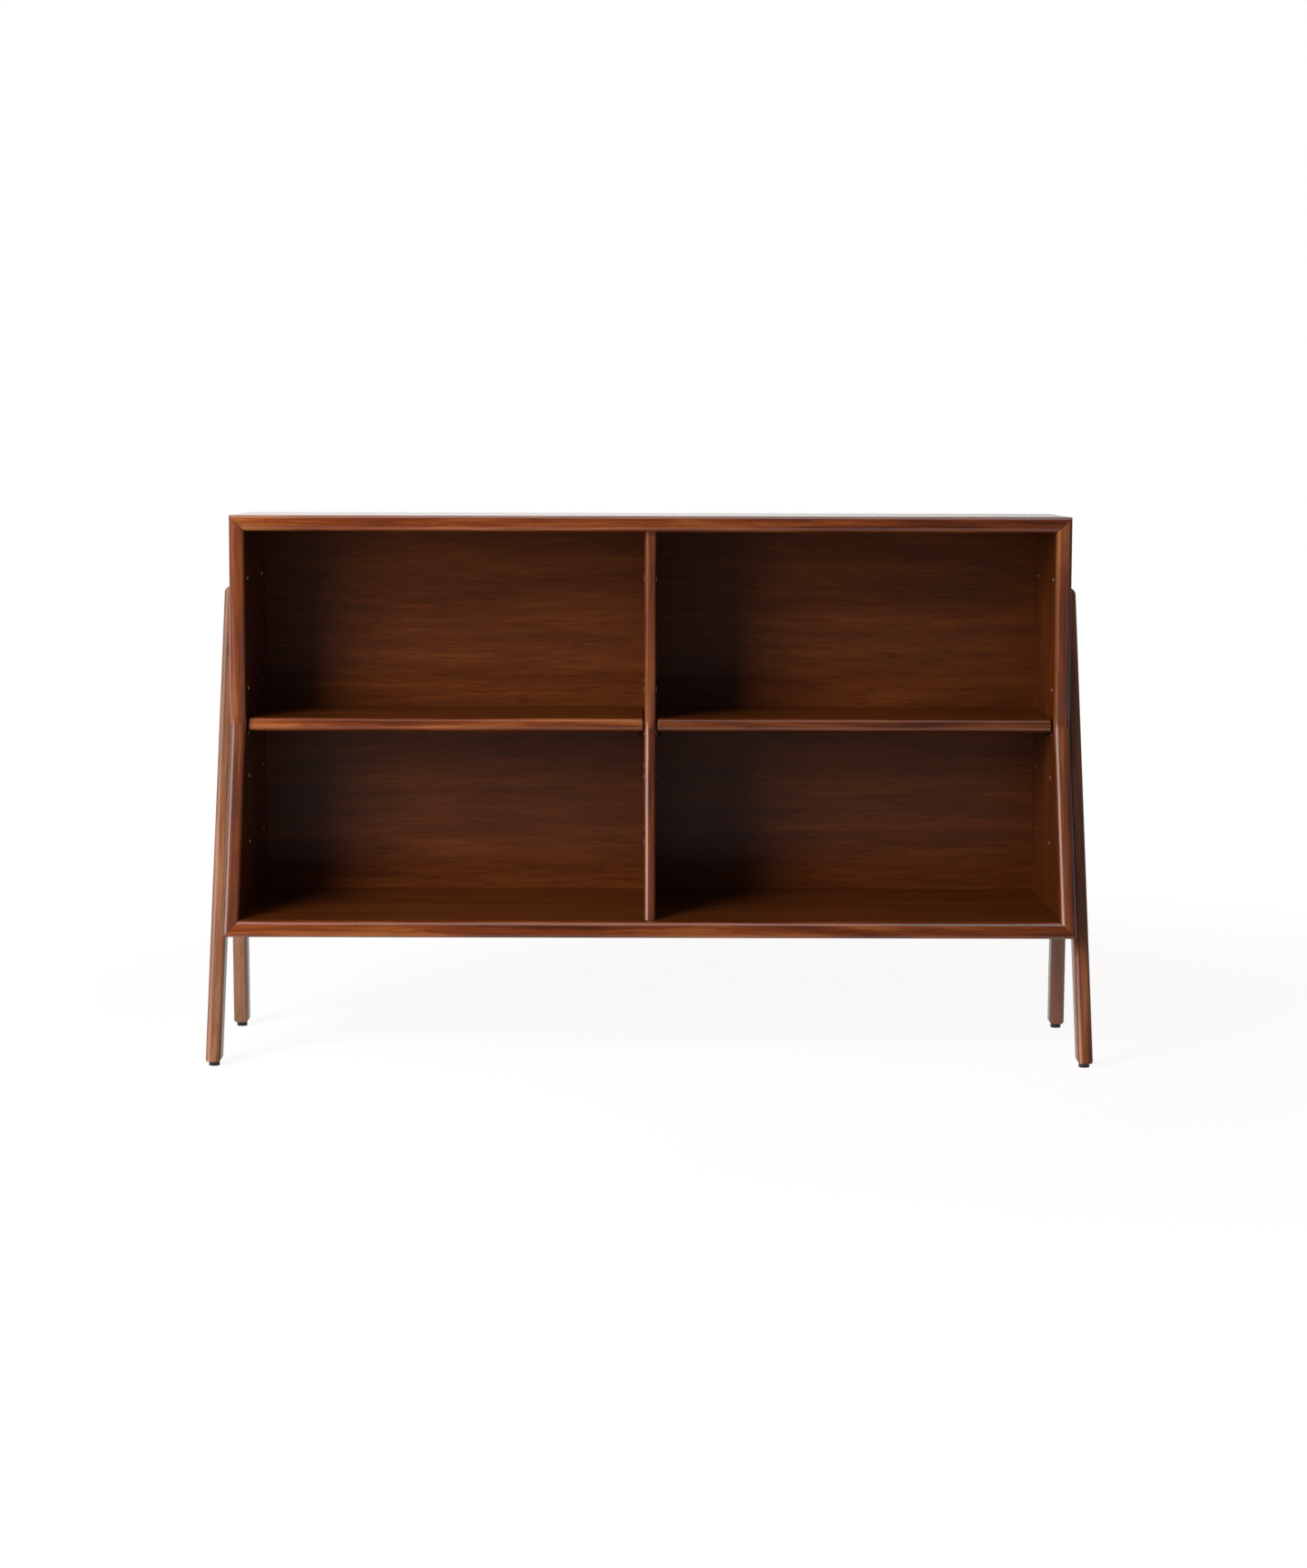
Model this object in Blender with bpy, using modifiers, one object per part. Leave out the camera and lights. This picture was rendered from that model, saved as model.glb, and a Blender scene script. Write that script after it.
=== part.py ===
# Low bookcase: a mitred case with a centre divider, two loose shelves and slanted side legs.
# Metres, +Z up. The front faces -Y, and the origin is on the floor under the middle of the part.

import math

import bmesh
import bpy
from mathutils import Matrix, Vector

# Overall sizes
CASE_WIDTH = 1.250
HEIGHT = 0.800
DEPTH = 0.415
CASE_UNDERSIDE = 0.187

# Front line of the case: upright above the bend, sloping forward below it
UPPER_SETBACK = 0.150
BEND_HEIGHT = 0.488
FRONT_LEAN = math.radians(22)
INNER_SETBACK = 0.015

# Boards
BOARD = 0.0235
DIVIDER = 0.018
LIPPING = 0.010
EDGE_ROUNDING = 0.0078
GAP = 0.0003
OVERRUN = 0.020
WELD = 0.000003

# Back panel in its rebate
BACK = 0.006
REBATE_DEPTH = 0.009
REBATE_WIDTH = 0.010

# Shelves
SHELF = 0.020
SHELF_UNDERSIDE = 0.478
SHELF_END_CLEARANCE = 0.002
SHELF_BACK_CLEARANCE = 0.003

# Shelf pins and the holes that take them
PIN_RADIUS = 0.0025
PIN_LENGTH = 0.0165
PIN_INSET = 0.037
PIN_CHAMFER = 0.0006
PIN_HOLE_DEPTH = 0.0078
PIN_HOLE_PITCH = 0.033
PIN_HOLE_STEPS = (-5, -2, 0, 2, 7)

# Legs
LEG_THICKNESS = 0.0225
LEG_DEPTH = 0.038
LEG_HEIGHT = 0.691
LEG_ROUNDING = 0.008
LEG_TOP_ROUNDING = 0.013
LEG_FOOT_CHAMFER = 0.0025
FRONT_LEG_TOP_DEPTH = 0.0258
REAR_LEAN = math.radians(2.5)

# Glides with a moulded peg
GLIDE_RADIUS = 0.008
GLIDE_HEIGHT = 0.008
GLIDE_CHAMFER = 0.0008
PEG_RADIUS = 0.0025
PEG_LENGTH = 0.014

# Dowels and splines
DOWEL_RADIUS = 0.004
DOWEL_LENGTH = 0.026
DOWEL_CHAMFER = 0.001
LEG_JOINT_DOWEL_RADIUS = 0.003
LEG_JOINT_DOWEL_TOP = 0.014
DIVIDER_DOWEL_INSET = 0.040
SPLINE_THICKNESS = 0.004
SPLINE_WIDTH = 0.016
SPLINE_INSET = 0.025
LEG_DOWEL_HEIGHT_SHARES = (0.15, 0.72)
DIVIDER_DOWEL_DEPTH_SHARES = (0.0, 1.0)

# Back screws
SCREW_RADIUS = 0.0015
SCREW_HEAD_RADIUS = 0.003
SCREW_HEAD_HEIGHT = 0.0016
SCREW_LENGTH = 0.018
SCREW_TIP = 0.003
SCREW_WIDTH_SHARES = (-0.6, 0.6)
DIVIDER_SCREW_HEIGHT_SHARES = (0.3, 0.7)

# Facets on round work
ARC_STEPS = 6
LEG_ARC_STEPS = 5
LEG_TOP_STEPS = 4
SMALL_STEPS = 10
TINY_STEPS = 8
GLIDE_STEPS = 20
SHARP_ANGLE = math.radians(35)
LEG_TOP_START = math.radians(15)
LEG_TOP_END = math.radians(75)

# Places worked out from the sizes
FRONT = -DEPTH / 2
REAR = DEPTH / 2
UPPER_FRONT = FRONT + UPPER_SETBACK
CASE_HALF = CASE_WIDTH / 2
INNER_HALF = CASE_HALF - BOARD
TOP_UNDER = HEIGHT - BOARD
FLOOR_TOP = CASE_UNDERSIDE + BOARD
BACK_FACE = REAR - REBATE_DEPTH
MITRE_SHIFT = GAP / math.sqrt(2)
SHELF_MIDDLE = (INNER_HALF + DIVIDER / 2) / 2
SHELF_WIDTH = INNER_HALF - DIVIDER / 2 - 2 * SHELF_END_CLEARANCE
SHELF_FRONT = UPPER_FRONT + INNER_SETBACK
SHELF_REAR = BACK_FACE - SHELF_BACK_CLEARANCE
PIN_HEIGHT = SHELF_UNDERSIDE - GAP - PIN_RADIUS
PIN_DEPTHS = (UPPER_FRONT + PIN_INSET, BACK_FACE - PIN_INSET)
FOOT_HEIGHT = GLIDE_HEIGHT + GAP
LEG_MIDDLE = CASE_HALF + GAP + LEG_THICKNESS / 2
LEG_RISE = LEG_HEIGHT - FOOT_HEIGHT
LEG_SPREAD = LEG_RISE * (math.tan(FRONT_LEAN) + math.tan(REAR_LEAN))
REAR_FOOT = FRONT + LEG_SPREAD + FRONT_LEG_TOP_DEPTH
SIDES = (("left", -1), ("right", 1))

# Finishes: colour, roughness, metallic
FINISHES = {
    "walnut_veneer": ((0.105, 0.036, 0.014, 1), 0.38, 0.0),
    "walnut_back_veneer": ((0.075, 0.027, 0.012, 1), 0.45, 0.0),
    "walnut_lipping": ((0.205, 0.062, 0.020, 1), 0.35, 0.0),
    "walnut_leg": ((0.225, 0.095, 0.045, 1), 0.40, 0.0),
    "beech_dowel": ((0.62, 0.44, 0.27, 1), 0.60, 0.0),
    "black_nylon": ((0.010, 0.010, 0.011, 1), 0.50, 0.0),
    "nickel": ((0.62, 0.60, 0.57, 1), 0.28, 1.0),
    "zinc_steel": ((0.55, 0.55, 0.54, 1), 0.40, 1.0),
}


def clear_scene():
    for item in list(bpy.data.objects):
        bpy.data.objects.remove(item, do_unlink=True)


def new_collection(name):
    collection = bpy.data.collections.new(name)
    bpy.context.scene.collection.children.link(collection)
    return collection


def material(finish):
    """The finish's own Principled material, made once."""
    if finish in bpy.data.materials:
        return bpy.data.materials[finish]
    colour, roughness, metallic = FINISHES[finish]
    made = bpy.data.materials.new(finish)
    made.use_nodes = True
    shader = made.node_tree.nodes["Principled BSDF"]
    shader.inputs["Base Color"].default_value = colour
    shader.inputs["Roughness"].default_value = roughness
    shader.inputs["Metallic"].default_value = metallic
    return made


def add_piece(name, mesh, finish, location=(0, 0, 0), rotation=(0, 0, 0)):
    """Put a mesh into the bookcase as a named piece."""
    mesh.name = name
    mesh.materials.clear()
    mesh.materials.append(material(finish))
    piece = bpy.data.objects.new(name, mesh)
    piece.location = location
    piece.rotation_euler = rotation
    PARTS.objects.link(piece)
    return piece


def front_line(height, inset=0.0):
    """How far forward the case reaches at a height, with the line moved in by an inset."""
    bend = BEND_HEIGHT - inset * math.tan(FRONT_LEAN / 2)
    drop = max(bend - height, 0.0)
    return UPPER_FRONT + inset - drop * math.tan(FRONT_LEAN)


def arc(centre, radius, start, end, steps):
    """Points along an arc, angles in radians."""
    points = []
    for step in range(steps + 1):
        angle = start + (end - start) * step / steps
        x = centre[0] + radius * math.cos(angle)
        y = centre[1] + radius * math.sin(angle)
        points.append((x, y))
    return points


def lipping_section(width, depth):
    """A lipping's section: the front lies on y = 0 with both arrises well rounded."""
    radius = min(EDGE_ROUNDING, width / 2 - GAP, depth - GAP)
    half = width / 2
    left = arc((radius - half, radius), radius, math.pi, math.pi * 1.5, ARC_STEPS)
    right = arc((half - radius, radius), radius, math.pi * 1.5, math.pi * 2, ARC_STEPS)
    return [(-half, depth)] + left + right + [(half, depth)]


def leg_section():
    """A leg's section: the front face lies on y = 0, and all four arrises are rounded."""
    half = LEG_THICKNESS / 2
    radius = min(LEG_ROUNDING, half - GAP)
    near = radius
    far = LEG_DEPTH - radius
    points = arc((radius - half, near), radius, math.pi, math.pi * 1.5, LEG_ARC_STEPS)
    points += arc((half - radius, near), radius, math.pi * 1.5, math.pi * 2, LEG_ARC_STEPS)
    points += arc((half - radius, far), radius, 0, math.pi / 2, LEG_ARC_STEPS)
    points += arc((radius - half, far), radius, math.pi / 2, math.pi, LEG_ARC_STEPS)
    return points


def weld(mesh):
    """Close the seams of a mesh made from a curve or a modifier, faces outward."""
    form = bmesh.new()
    form.from_mesh(mesh)
    bmesh.ops.remove_doubles(form, verts=form.verts, dist=WELD)
    bmesh.ops.recalc_face_normals(form, faces=form.faces)
    form.to_mesh(mesh)
    form.free()


def extruded(outline, length):
    """A closed outline given a length along local Z, as a welded mesh."""
    curve = bpy.data.curves.new("outline", "CURVE")
    curve.dimensions = "2D"
    curve.fill_mode = "BOTH"
    curve.extrude = length / 2
    spline = curve.splines.new("POLY")
    spline.points.add(len(outline) - 1)
    for point, (x, y) in zip(spline.points, outline):
        point.co = (x, y, 0, 1)
    spline.use_cyclic_u = True
    guide = bpy.data.objects.new("outline", curve)
    bpy.context.scene.collection.objects.link(guide)
    graph = bpy.context.evaluated_depsgraph_get()
    mesh = bpy.data.meshes.new_from_object(guide.evaluated_get(graph))
    bpy.data.objects.remove(guide, do_unlink=True)
    bpy.data.curves.remove(curve)
    weld(mesh)
    return mesh


# An outline drawn in Y and Z stands up to face sideways, one in X and Z to face the front
SIDEWAYS = (math.pi / 2, 0, math.pi / 2)
FORWARD = (math.pi / 2, 0, 0)


def trim(piece, point, normal):
    """Saw off what lies beyond a plane, and close the cut."""
    place = piece.matrix_basis.inverted()
    form = bmesh.new()
    form.from_mesh(piece.data)
    everything = form.verts[:] + form.edges[:] + form.faces[:]
    cut = bmesh.ops.bisect_plane(
        form,
        geom=everything,
        dist=WELD,
        plane_co=place @ Vector(point),
        plane_no=place.to_3x3() @ Vector(normal),
        clear_outer=True,
    )
    rim = [item for item in cut["geom_cut"] if isinstance(item, bmesh.types.BMEdge)]
    if rim:
        bmesh.ops.contextual_create(form, geom=rim)
    bmesh.ops.recalc_face_normals(form, faces=form.faces)
    form.to_mesh(piece.data)
    form.free()


def box(form, low, high):
    """Add a box between two corners to a bmesh."""
    low, high = Vector(low), Vector(high)
    size = Matrix.Diagonal((high - low).to_4d())
    bmesh.ops.create_cube(form, size=1, matrix=Matrix.Translation((low + high) / 2) @ size)


def block(name, low, high, finish):
    """A plain rectangular board."""
    form = bmesh.new()
    box(form, low, high)
    mesh = bpy.data.meshes.new(name)
    form.to_mesh(mesh)
    form.free()
    return add_piece(name, mesh, finish)


def cut(piece, form):
    """Take a bmesh of cutting shapes out of a piece, and free it."""
    mesh = bpy.data.meshes.new(piece.name + "_cutter")
    form.to_mesh(mesh)
    form.free()
    cutter = bpy.data.objects.new(piece.name + "_cutter", mesh)
    cutter.hide_render = True
    cutter.display_type = "WIRE"
    CUTTERS.objects.link(cutter)
    modifier = piece.modifiers.new("cuts", "BOOLEAN")
    modifier.operation = "DIFFERENCE"
    modifier.solver = "EXACT"
    modifier.object = cutter


def hole(form, mouth, inward, radius, depth, steps=SMALL_STEPS):
    """Add a drill to a cutting bmesh: it enters at the mouth and goes inward."""
    inward = Vector(inward).normalized()
    length = depth + OVERRUN
    middle = Vector(mouth) + inward * (depth - OVERRUN) / 2
    turn = Vector((0, 0, 1)).rotation_difference(inward).to_matrix().to_4x4()
    bmesh.ops.create_cone(
        form,
        cap_ends=True,
        segments=steps,
        radius1=radius,
        radius2=radius,
        depth=length,
        matrix=Matrix.Translation(middle) @ turn,
    )


def turned(profile, steps):
    """A profile of (radius, height) points spun round local Z, as a mesh."""
    mesh = bpy.data.meshes.new("profile")
    points = [(radius, 0, height) for radius, height in profile]
    edges = [(step, step + 1) for step in range(len(profile) - 1)]
    mesh.from_pydata(points, edges, [])
    guide = bpy.data.objects.new("profile", mesh)
    bpy.context.scene.collection.objects.link(guide)
    screw = guide.modifiers.new("turn", "SCREW")
    screw.steps = steps
    screw.render_steps = steps
    screw.use_merge_vertices = True
    screw.merge_threshold = WELD
    graph = bpy.context.evaluated_depsgraph_get()
    made = bpy.data.meshes.new_from_object(guide.evaluated_get(graph))
    bpy.data.objects.remove(guide, do_unlink=True)
    weld(made)
    made.shade_smooth()
    made.set_sharp_from_angle(angle=SHARP_ANGLE)
    return made


def pointing(place, direction):
    """A matrix that puts a turned piece at a place with its local Z along a direction."""
    turn = Vector((0, 0, 1)).rotation_difference(Vector(direction)).to_matrix().to_4x4()
    return Matrix.Translation(place) @ turn


def repeat(name, mesh, matrices, finish):
    """Equal pieces that share one mesh, each its own numbered object."""
    for count, matrix in enumerate(matrices, start=1):
        place = matrix.to_translation()
        add_piece(name + "_" + str(count), mesh, finish, place, matrix.to_euler())


def dowel(radius, length):
    """A fluteless dowel with chamfered ends, centred on its middle."""
    half = length / 2
    chamfer = min(DOWEL_CHAMFER, radius / 2)
    profile = [(0, half), (radius - chamfer, half), (radius, half - chamfer)]
    profile += [(radius, chamfer - half), (radius - chamfer, -half), (0, -half)]
    return turned(profile, SMALL_STEPS)


# Places of the hidden joints, shared by the pieces and the holes that take them
def spline_places():
    """Side, level, centre, slope sign and length of each mitre spline."""
    places = []
    for side, sign in SIDES:
        x = sign * (CASE_HALF - BOARD / 2)
        upper = ("upper", HEIGHT - BOARD / 2, sign)
        lower = ("lower", CASE_UNDERSIDE + BOARD / 2, -sign)
        for level, middle, tilt in (upper, lower):
            front = front_line(middle, LIPPING) + SPLINE_INSET
            rear = BACK_FACE - SPLINE_INSET
            places.append((side, level, (x, (front + rear) / 2, middle), tilt, rear - front))
    return places


def add_spline(form, centre, tilt, length, clearance):
    """A strip across a mitre, grown by a clearance on every side."""
    size = (SPLINE_WIDTH + 2 * clearance, length + 2 * clearance, SPLINE_THICKNESS + 2 * clearance)
    turn = Matrix.Rotation(tilt * math.pi / 4, 4, "Y")
    scale = Matrix.Diagonal((*size, 1))
    bmesh.ops.create_cube(form, size=1, matrix=Matrix.Translation(centre) @ turn @ scale)


def divider_dowel_places():
    """Mouth height and depth of each dowel at the divider's ends."""
    places = []
    for height in (FLOOR_TOP, TOP_UNDER):
        front = front_line(height, INNER_SETBACK + LIPPING) + DIVIDER_DOWEL_INSET
        rear = BACK_FACE - DIVIDER_DOWEL_INSET
        for share in DIVIDER_DOWEL_DEPTH_SHARES:
            places.append((front + (rear - front) * share, height))
    return places


def leg_axis(which, height):
    """Depth of a leg's centre line at a height."""
    rise = height - FOOT_HEIGHT
    if which == "front":
        return FRONT + LEG_DEPTH / 2 / math.cos(FRONT_LEAN) + rise * math.tan(FRONT_LEAN)
    return REAR_FOOT + LEG_DEPTH / 2 / math.cos(REAR_LEAN) - rise * math.tan(REAR_LEAN)


def leg_dowel_places(which):
    """Depth and height of the dowels that hold one leg to its side."""
    places = []
    for share in LEG_DOWEL_HEIGHT_SHARES:
        height = CASE_UNDERSIDE + (LEG_HEIGHT - CASE_UNDERSIDE) * share
        places.append((leg_axis(which, height), height))
    return places


def leg_joint_place():
    """Depth and height where the dowel crosses the joint between the two legs of a side."""
    height = LEG_HEIGHT - LEG_JOINT_DOWEL_TOP
    return REAR_FOOT - (height - FOOT_HEIGHT) * math.tan(REAR_LEAN), height


def screw_places():
    """Width and height of the back panel's screws, with the board that each enters."""
    ledge = REBATE_WIDTH / 2
    places = []
    for share in SCREW_WIDTH_SHARES:
        places.append((share * INNER_HALF, TOP_UNDER + ledge, "top_panel"))
        places.append((share * INNER_HALF, FLOOR_TOP - ledge, "bottom_panel"))
    for share in DIVIDER_SCREW_HEIGHT_SHARES:
        places.append((0.0, FLOOR_TOP + (TOP_UNDER - FLOOR_TOP) * share, "centre_divider"))
    return places


def pin_hole_heights():
    return [PIN_HEIGHT + PIN_HOLE_PITCH * step for step in PIN_HOLE_STEPS]


def foot_places():
    """Name, width and depth of each foot's middle."""
    places = []
    for which in ("front", "rear"):
        for side, sign in SIDES:
            places.append((which + "_" + side, sign * LEG_MIDDLE, leg_axis(which, FOOT_HEIGHT)))
    return places


# Cuts that several boards share
def cut_screw_pilots(form, board):
    depth = SCREW_LENGTH - BACK + GAP
    for x, z, target in screw_places():
        if target == board:
            hole(form, (x, BACK_FACE, z), (0, -1, 0), SCREW_RADIUS + GAP, depth, TINY_STEPS)


def cut_splines(form, side, level):
    for at_side, at_level, centre, tilt, length in spline_places():
        if side in (at_side, "both") and level in (at_level, "both"):
            add_spline(form, centre, tilt, length, GAP)


def cut_rebate(form):
    """The step round the inside of the case's rear edge, which takes the back panel."""
    reach = INNER_HALF + REBATE_WIDTH
    low = (-reach, BACK_FACE, FLOOR_TOP - REBATE_WIDTH)
    box(form, low, (reach, REAR + OVERRUN, TOP_UNDER + REBATE_WIDTH))


def make_top_and_bottom():
    """The two level boards of the case, with mitred ends."""
    outer = CASE_HALF - MITRE_SHIFT
    inner = INNER_HALF - MITRE_SHIFT
    for level, near, far in (("top", TOP_UNDER, HEIGHT), ("bottom", FLOOR_TOP, CASE_UNDERSIDE)):
        name = level + "_panel"
        outline = [(-outer, far), (outer, far), (inner, near), (-inner, near)]
        start = front_line(min(near, far), LIPPING + GAP) - OVERRUN
        mesh = extruded(outline, REAR - start)
        piece = add_piece(name, mesh, "walnut_veneer", (0, (start + REAR) / 2, 0), FORWARD)
        lean = FRONT_LEAN if level == "bottom" else 0.0
        height = (near + far) / 2
        cut_at = (0, front_line(height, LIPPING + GAP), height)
        trim(piece, cut_at, (0, -math.cos(lean), math.sin(lean)))
        form = bmesh.new()
        cut_rebate(form)
        cut(piece, form)
        form = bmesh.new()
        cut_screw_pilots(form, name)
        cut_splines(form, "both", "upper" if level == "top" else "lower")
        for depth, mouth in divider_dowel_places():
            if mouth == near:
                inward = (0, 0, far - near)
                hole(form, (0, depth, near), inward, DOWEL_RADIUS + GAP, DOWEL_LENGTH / 2 + GAP)
        cut(piece, form)


def mitre(piece, sign, at_top, at_bottom):
    """Saw the 45 degree ends of an upright piece on one side of the case."""
    if at_top:
        trim(piece, (sign * CASE_HALF, 0, HEIGHT - MITRE_SHIFT), (-sign, 0, 1))
    if at_bottom:
        trim(piece, (sign * CASE_HALF, 0, CASE_UNDERSIDE + MITRE_SHIFT), (-sign, 0, -1))


def upright_outline(inset, low, high, rear):
    """The outline of an upright board in depth and height, with the bent front."""
    bend = BEND_HEIGHT - inset * math.tan(FRONT_LEAN / 2)
    upper = UPPER_FRONT + inset
    return [(front_line(low, inset), low), (upper, bend), (upper, high), (rear, high), (rear, low)]


def cut_pin_holes(form, face, inward):
    for depth in PIN_DEPTHS:
        for height in pin_hole_heights():
            mouth = (face, depth, height)
            hole(form, mouth, (inward, 0, 0), PIN_RADIUS + GAP, PIN_HOLE_DEPTH)


def make_side_panels():
    outline = upright_outline(LIPPING + GAP, CASE_UNDERSIDE, HEIGHT, REAR)
    for side, sign in SIDES:
        name = side + "_side_panel"
        place = (sign * (CASE_HALF - BOARD / 2), 0, 0)
        piece = add_piece(name, extruded(outline, BOARD), "walnut_veneer", place, SIDEWAYS)
        mitre(piece, sign, True, True)
        form = bmesh.new()
        cut_rebate(form)
        cut(piece, form)
        form = bmesh.new()
        cut_splines(form, side, "both")
        cut_pin_holes(form, sign * INNER_HALF, sign)
        for which in ("front", "rear"):
            for depth, height in leg_dowel_places(which):
                mouth = (sign * CASE_HALF, depth, height)
                hole(form, mouth, (-sign, 0, 0), DOWEL_RADIUS + GAP, DOWEL_LENGTH / 2 + GAP)
        cut(piece, form)


def make_divider():
    inset = INNER_SETBACK + LIPPING + GAP
    outline = upright_outline(inset, FLOOR_TOP + GAP, TOP_UNDER - GAP, BACK_FACE - GAP)
    mesh = extruded(outline, DIVIDER)
    piece = add_piece("centre_divider", mesh, "walnut_veneer", (0, 0, 0), SIDEWAYS)
    form = bmesh.new()
    cut_screw_pilots(form, "centre_divider")
    for sign in (-1, 1):
        cut_pin_holes(form, sign * DIVIDER / 2, -sign)
    for depth, mouth in divider_dowel_places():
        inward = 1 if mouth == FLOOR_TOP else -1
        hole(form, (0, depth, mouth), (0, 0, inward), DOWEL_RADIUS + GAP, DOWEL_LENGTH / 2 + GAP)
    cut(piece, form)


def make_back_panel():
    reach = INNER_HALF + REBATE_WIDTH - GAP
    low = (-reach, BACK_FACE + GAP, FLOOR_TOP - REBATE_WIDTH + GAP)
    high = (reach, BACK_FACE + GAP + BACK, TOP_UNDER + REBATE_WIDTH - GAP)
    piece = block("back_panel", low, high, "walnut_back_veneer")
    form = bmesh.new()
    for x, z, board in screw_places():
        hole(form, (x, REAR, z), (0, -1, 0), SCREW_RADIUS + GAP, REBATE_DEPTH + BACK, TINY_STEPS)
    cut(piece, form)


def make_level_lippings():
    """The lippings along the front of the top and the bottom."""
    section = lipping_section(BOARD, LIPPING)
    top = [(UPPER_FRONT + inset, TOP_UNDER + BOARD / 2 + across) for across, inset in section]
    bottom = []
    for across, inset in section:
        height = CASE_UNDERSIDE + BOARD / 2 + across
        bottom.append((front_line(height) + inset / math.cos(FRONT_LEAN), height))
    for name, outline in (("top_lipping", top), ("bottom_lipping", bottom)):
        piece = add_piece(name, extruded(outline, CASE_WIDTH), "walnut_lipping", (0, 0, 0), SIDEWAYS)
        for side, sign in SIDES:
            if name == "top_lipping":
                trim(piece, (sign * CASE_HALF, 0, HEIGHT + MITRE_SHIFT), (sign, 0, -1))
            else:
                trim(piece, (sign * CASE_HALF, 0, CASE_UNDERSIDE - MITRE_SHIFT), (sign, 0, 1))


def make_bent_lipping(prefix, x, width, inset, low, high):
    """The upper and lower lippings of one upright, mitred to each other at the bend."""
    section = lipping_section(width, LIPPING)
    bend_height = BEND_HEIGHT - inset * math.tan(FRONT_LEAN / 2)
    bend = Vector((x, UPPER_FRONT + inset, bend_height))
    across_bend = Vector((0, math.sin(FRONT_LEAN / 2), math.cos(FRONT_LEAN / 2)))
    pieces = []
    for level, lean, way in (("upper", 0.0, 1), ("lower", FRONT_LEAN, -1)):
        length = 2 * (high - low)
        name = prefix + "_" + level + "_lipping"
        piece = add_piece(name, extruded(section, length), "walnut_lipping", bend, (-lean, 0, 0))
        trim(piece, bend + across_bend * way * GAP / 2, -across_bend * way)
        pieces.append(piece)
    return pieces


def make_upright_lippings():
    for side, sign in SIDES:
        x = sign * (CASE_HALF - BOARD / 2)
        upper, lower = make_bent_lipping(side, x, BOARD, 0.0, CASE_UNDERSIDE, HEIGHT)
        mitre(upper, sign, True, False)
        mitre(lower, sign, False, True)
    upper, lower = make_bent_lipping("divider", 0.0, DIVIDER, INNER_SETBACK, FLOOR_TOP, TOP_UNDER)
    trim(upper, (0, 0, TOP_UNDER - GAP), (0, 0, 1))
    trim(lower, (0, 0, FLOOR_TOP + GAP), (0, 0, -1))


def make_shelves():
    """Each loose shelf: a board and its lipping."""
    section = lipping_section(SHELF, LIPPING)
    middle = SHELF_UNDERSIDE + SHELF / 2
    outline = [(SHELF_FRONT + inset, middle + across) for across, inset in section]
    for side, sign in SIDES:
        x = sign * SHELF_MIDDLE
        low = (x - SHELF_WIDTH / 2, SHELF_FRONT + LIPPING + GAP, SHELF_UNDERSIDE)
        high = (x + SHELF_WIDTH / 2, SHELF_REAR, SHELF_UNDERSIDE + SHELF)
        block(side + "_shelf", low, high, "walnut_veneer")
        lipping = extruded(outline, SHELF_WIDTH)
        add_piece(side + "_shelf_lipping", lipping, "walnut_lipping", (x, 0, 0), SIDEWAYS)


def make_shelf_pins():
    half = PIN_LENGTH / 2
    chamfer = min(PIN_CHAMFER, PIN_RADIUS / 2)
    profile = [(0, half), (PIN_RADIUS - chamfer, half), (PIN_RADIUS, half - chamfer)]
    profile += [(PIN_RADIUS, chamfer - half), (PIN_RADIUS - chamfer, -half), (0, -half)]
    pin = turned(profile, SMALL_STEPS)
    for side, sign in SIDES:
        places = []
        for face, outward in ((sign * INNER_HALF, -sign), (sign * DIVIDER / 2, sign)):
            inner_end = face - outward * (PIN_HOLE_DEPTH - GAP)
            for depth in PIN_DEPTHS:
                middle = (inner_end + outward * half, depth, PIN_HEIGHT)
                places.append(pointing(middle, (1, 0, 0)))
        repeat(side + "_shelf_pin", pin, places, "nickel")


def round_leg_top(piece, sign):
    """Ease the top of a leg over towards its outer face with flat cuts along an arc."""
    outer = LEG_MIDDLE + LEG_THICKNESS / 2
    radius = min(LEG_TOP_ROUNDING, LEG_THICKNESS - GAP)
    centre = (outer - radius, LEG_HEIGHT - radius)
    for x, z in arc(centre, radius, LEG_TOP_START, LEG_TOP_END, LEG_TOP_STEPS):
        normal = (sign * (x - centre[0]), 0, z - centre[1])
        trim(piece, (sign * x, 0, z), normal)


def ease_foot(piece, sign):
    """Chamfer the inner and outer edges of a leg's bottom."""
    chamfer = min(LEG_FOOT_CHAMFER, LEG_THICKNESS / 4)
    for way in (-1, 1):
        edge = sign * LEG_MIDDLE + way * LEG_THICKNESS / 2
        trim(piece, (edge, 0, FOOT_HEIGHT + chamfer), (way, 0, -1))


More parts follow.
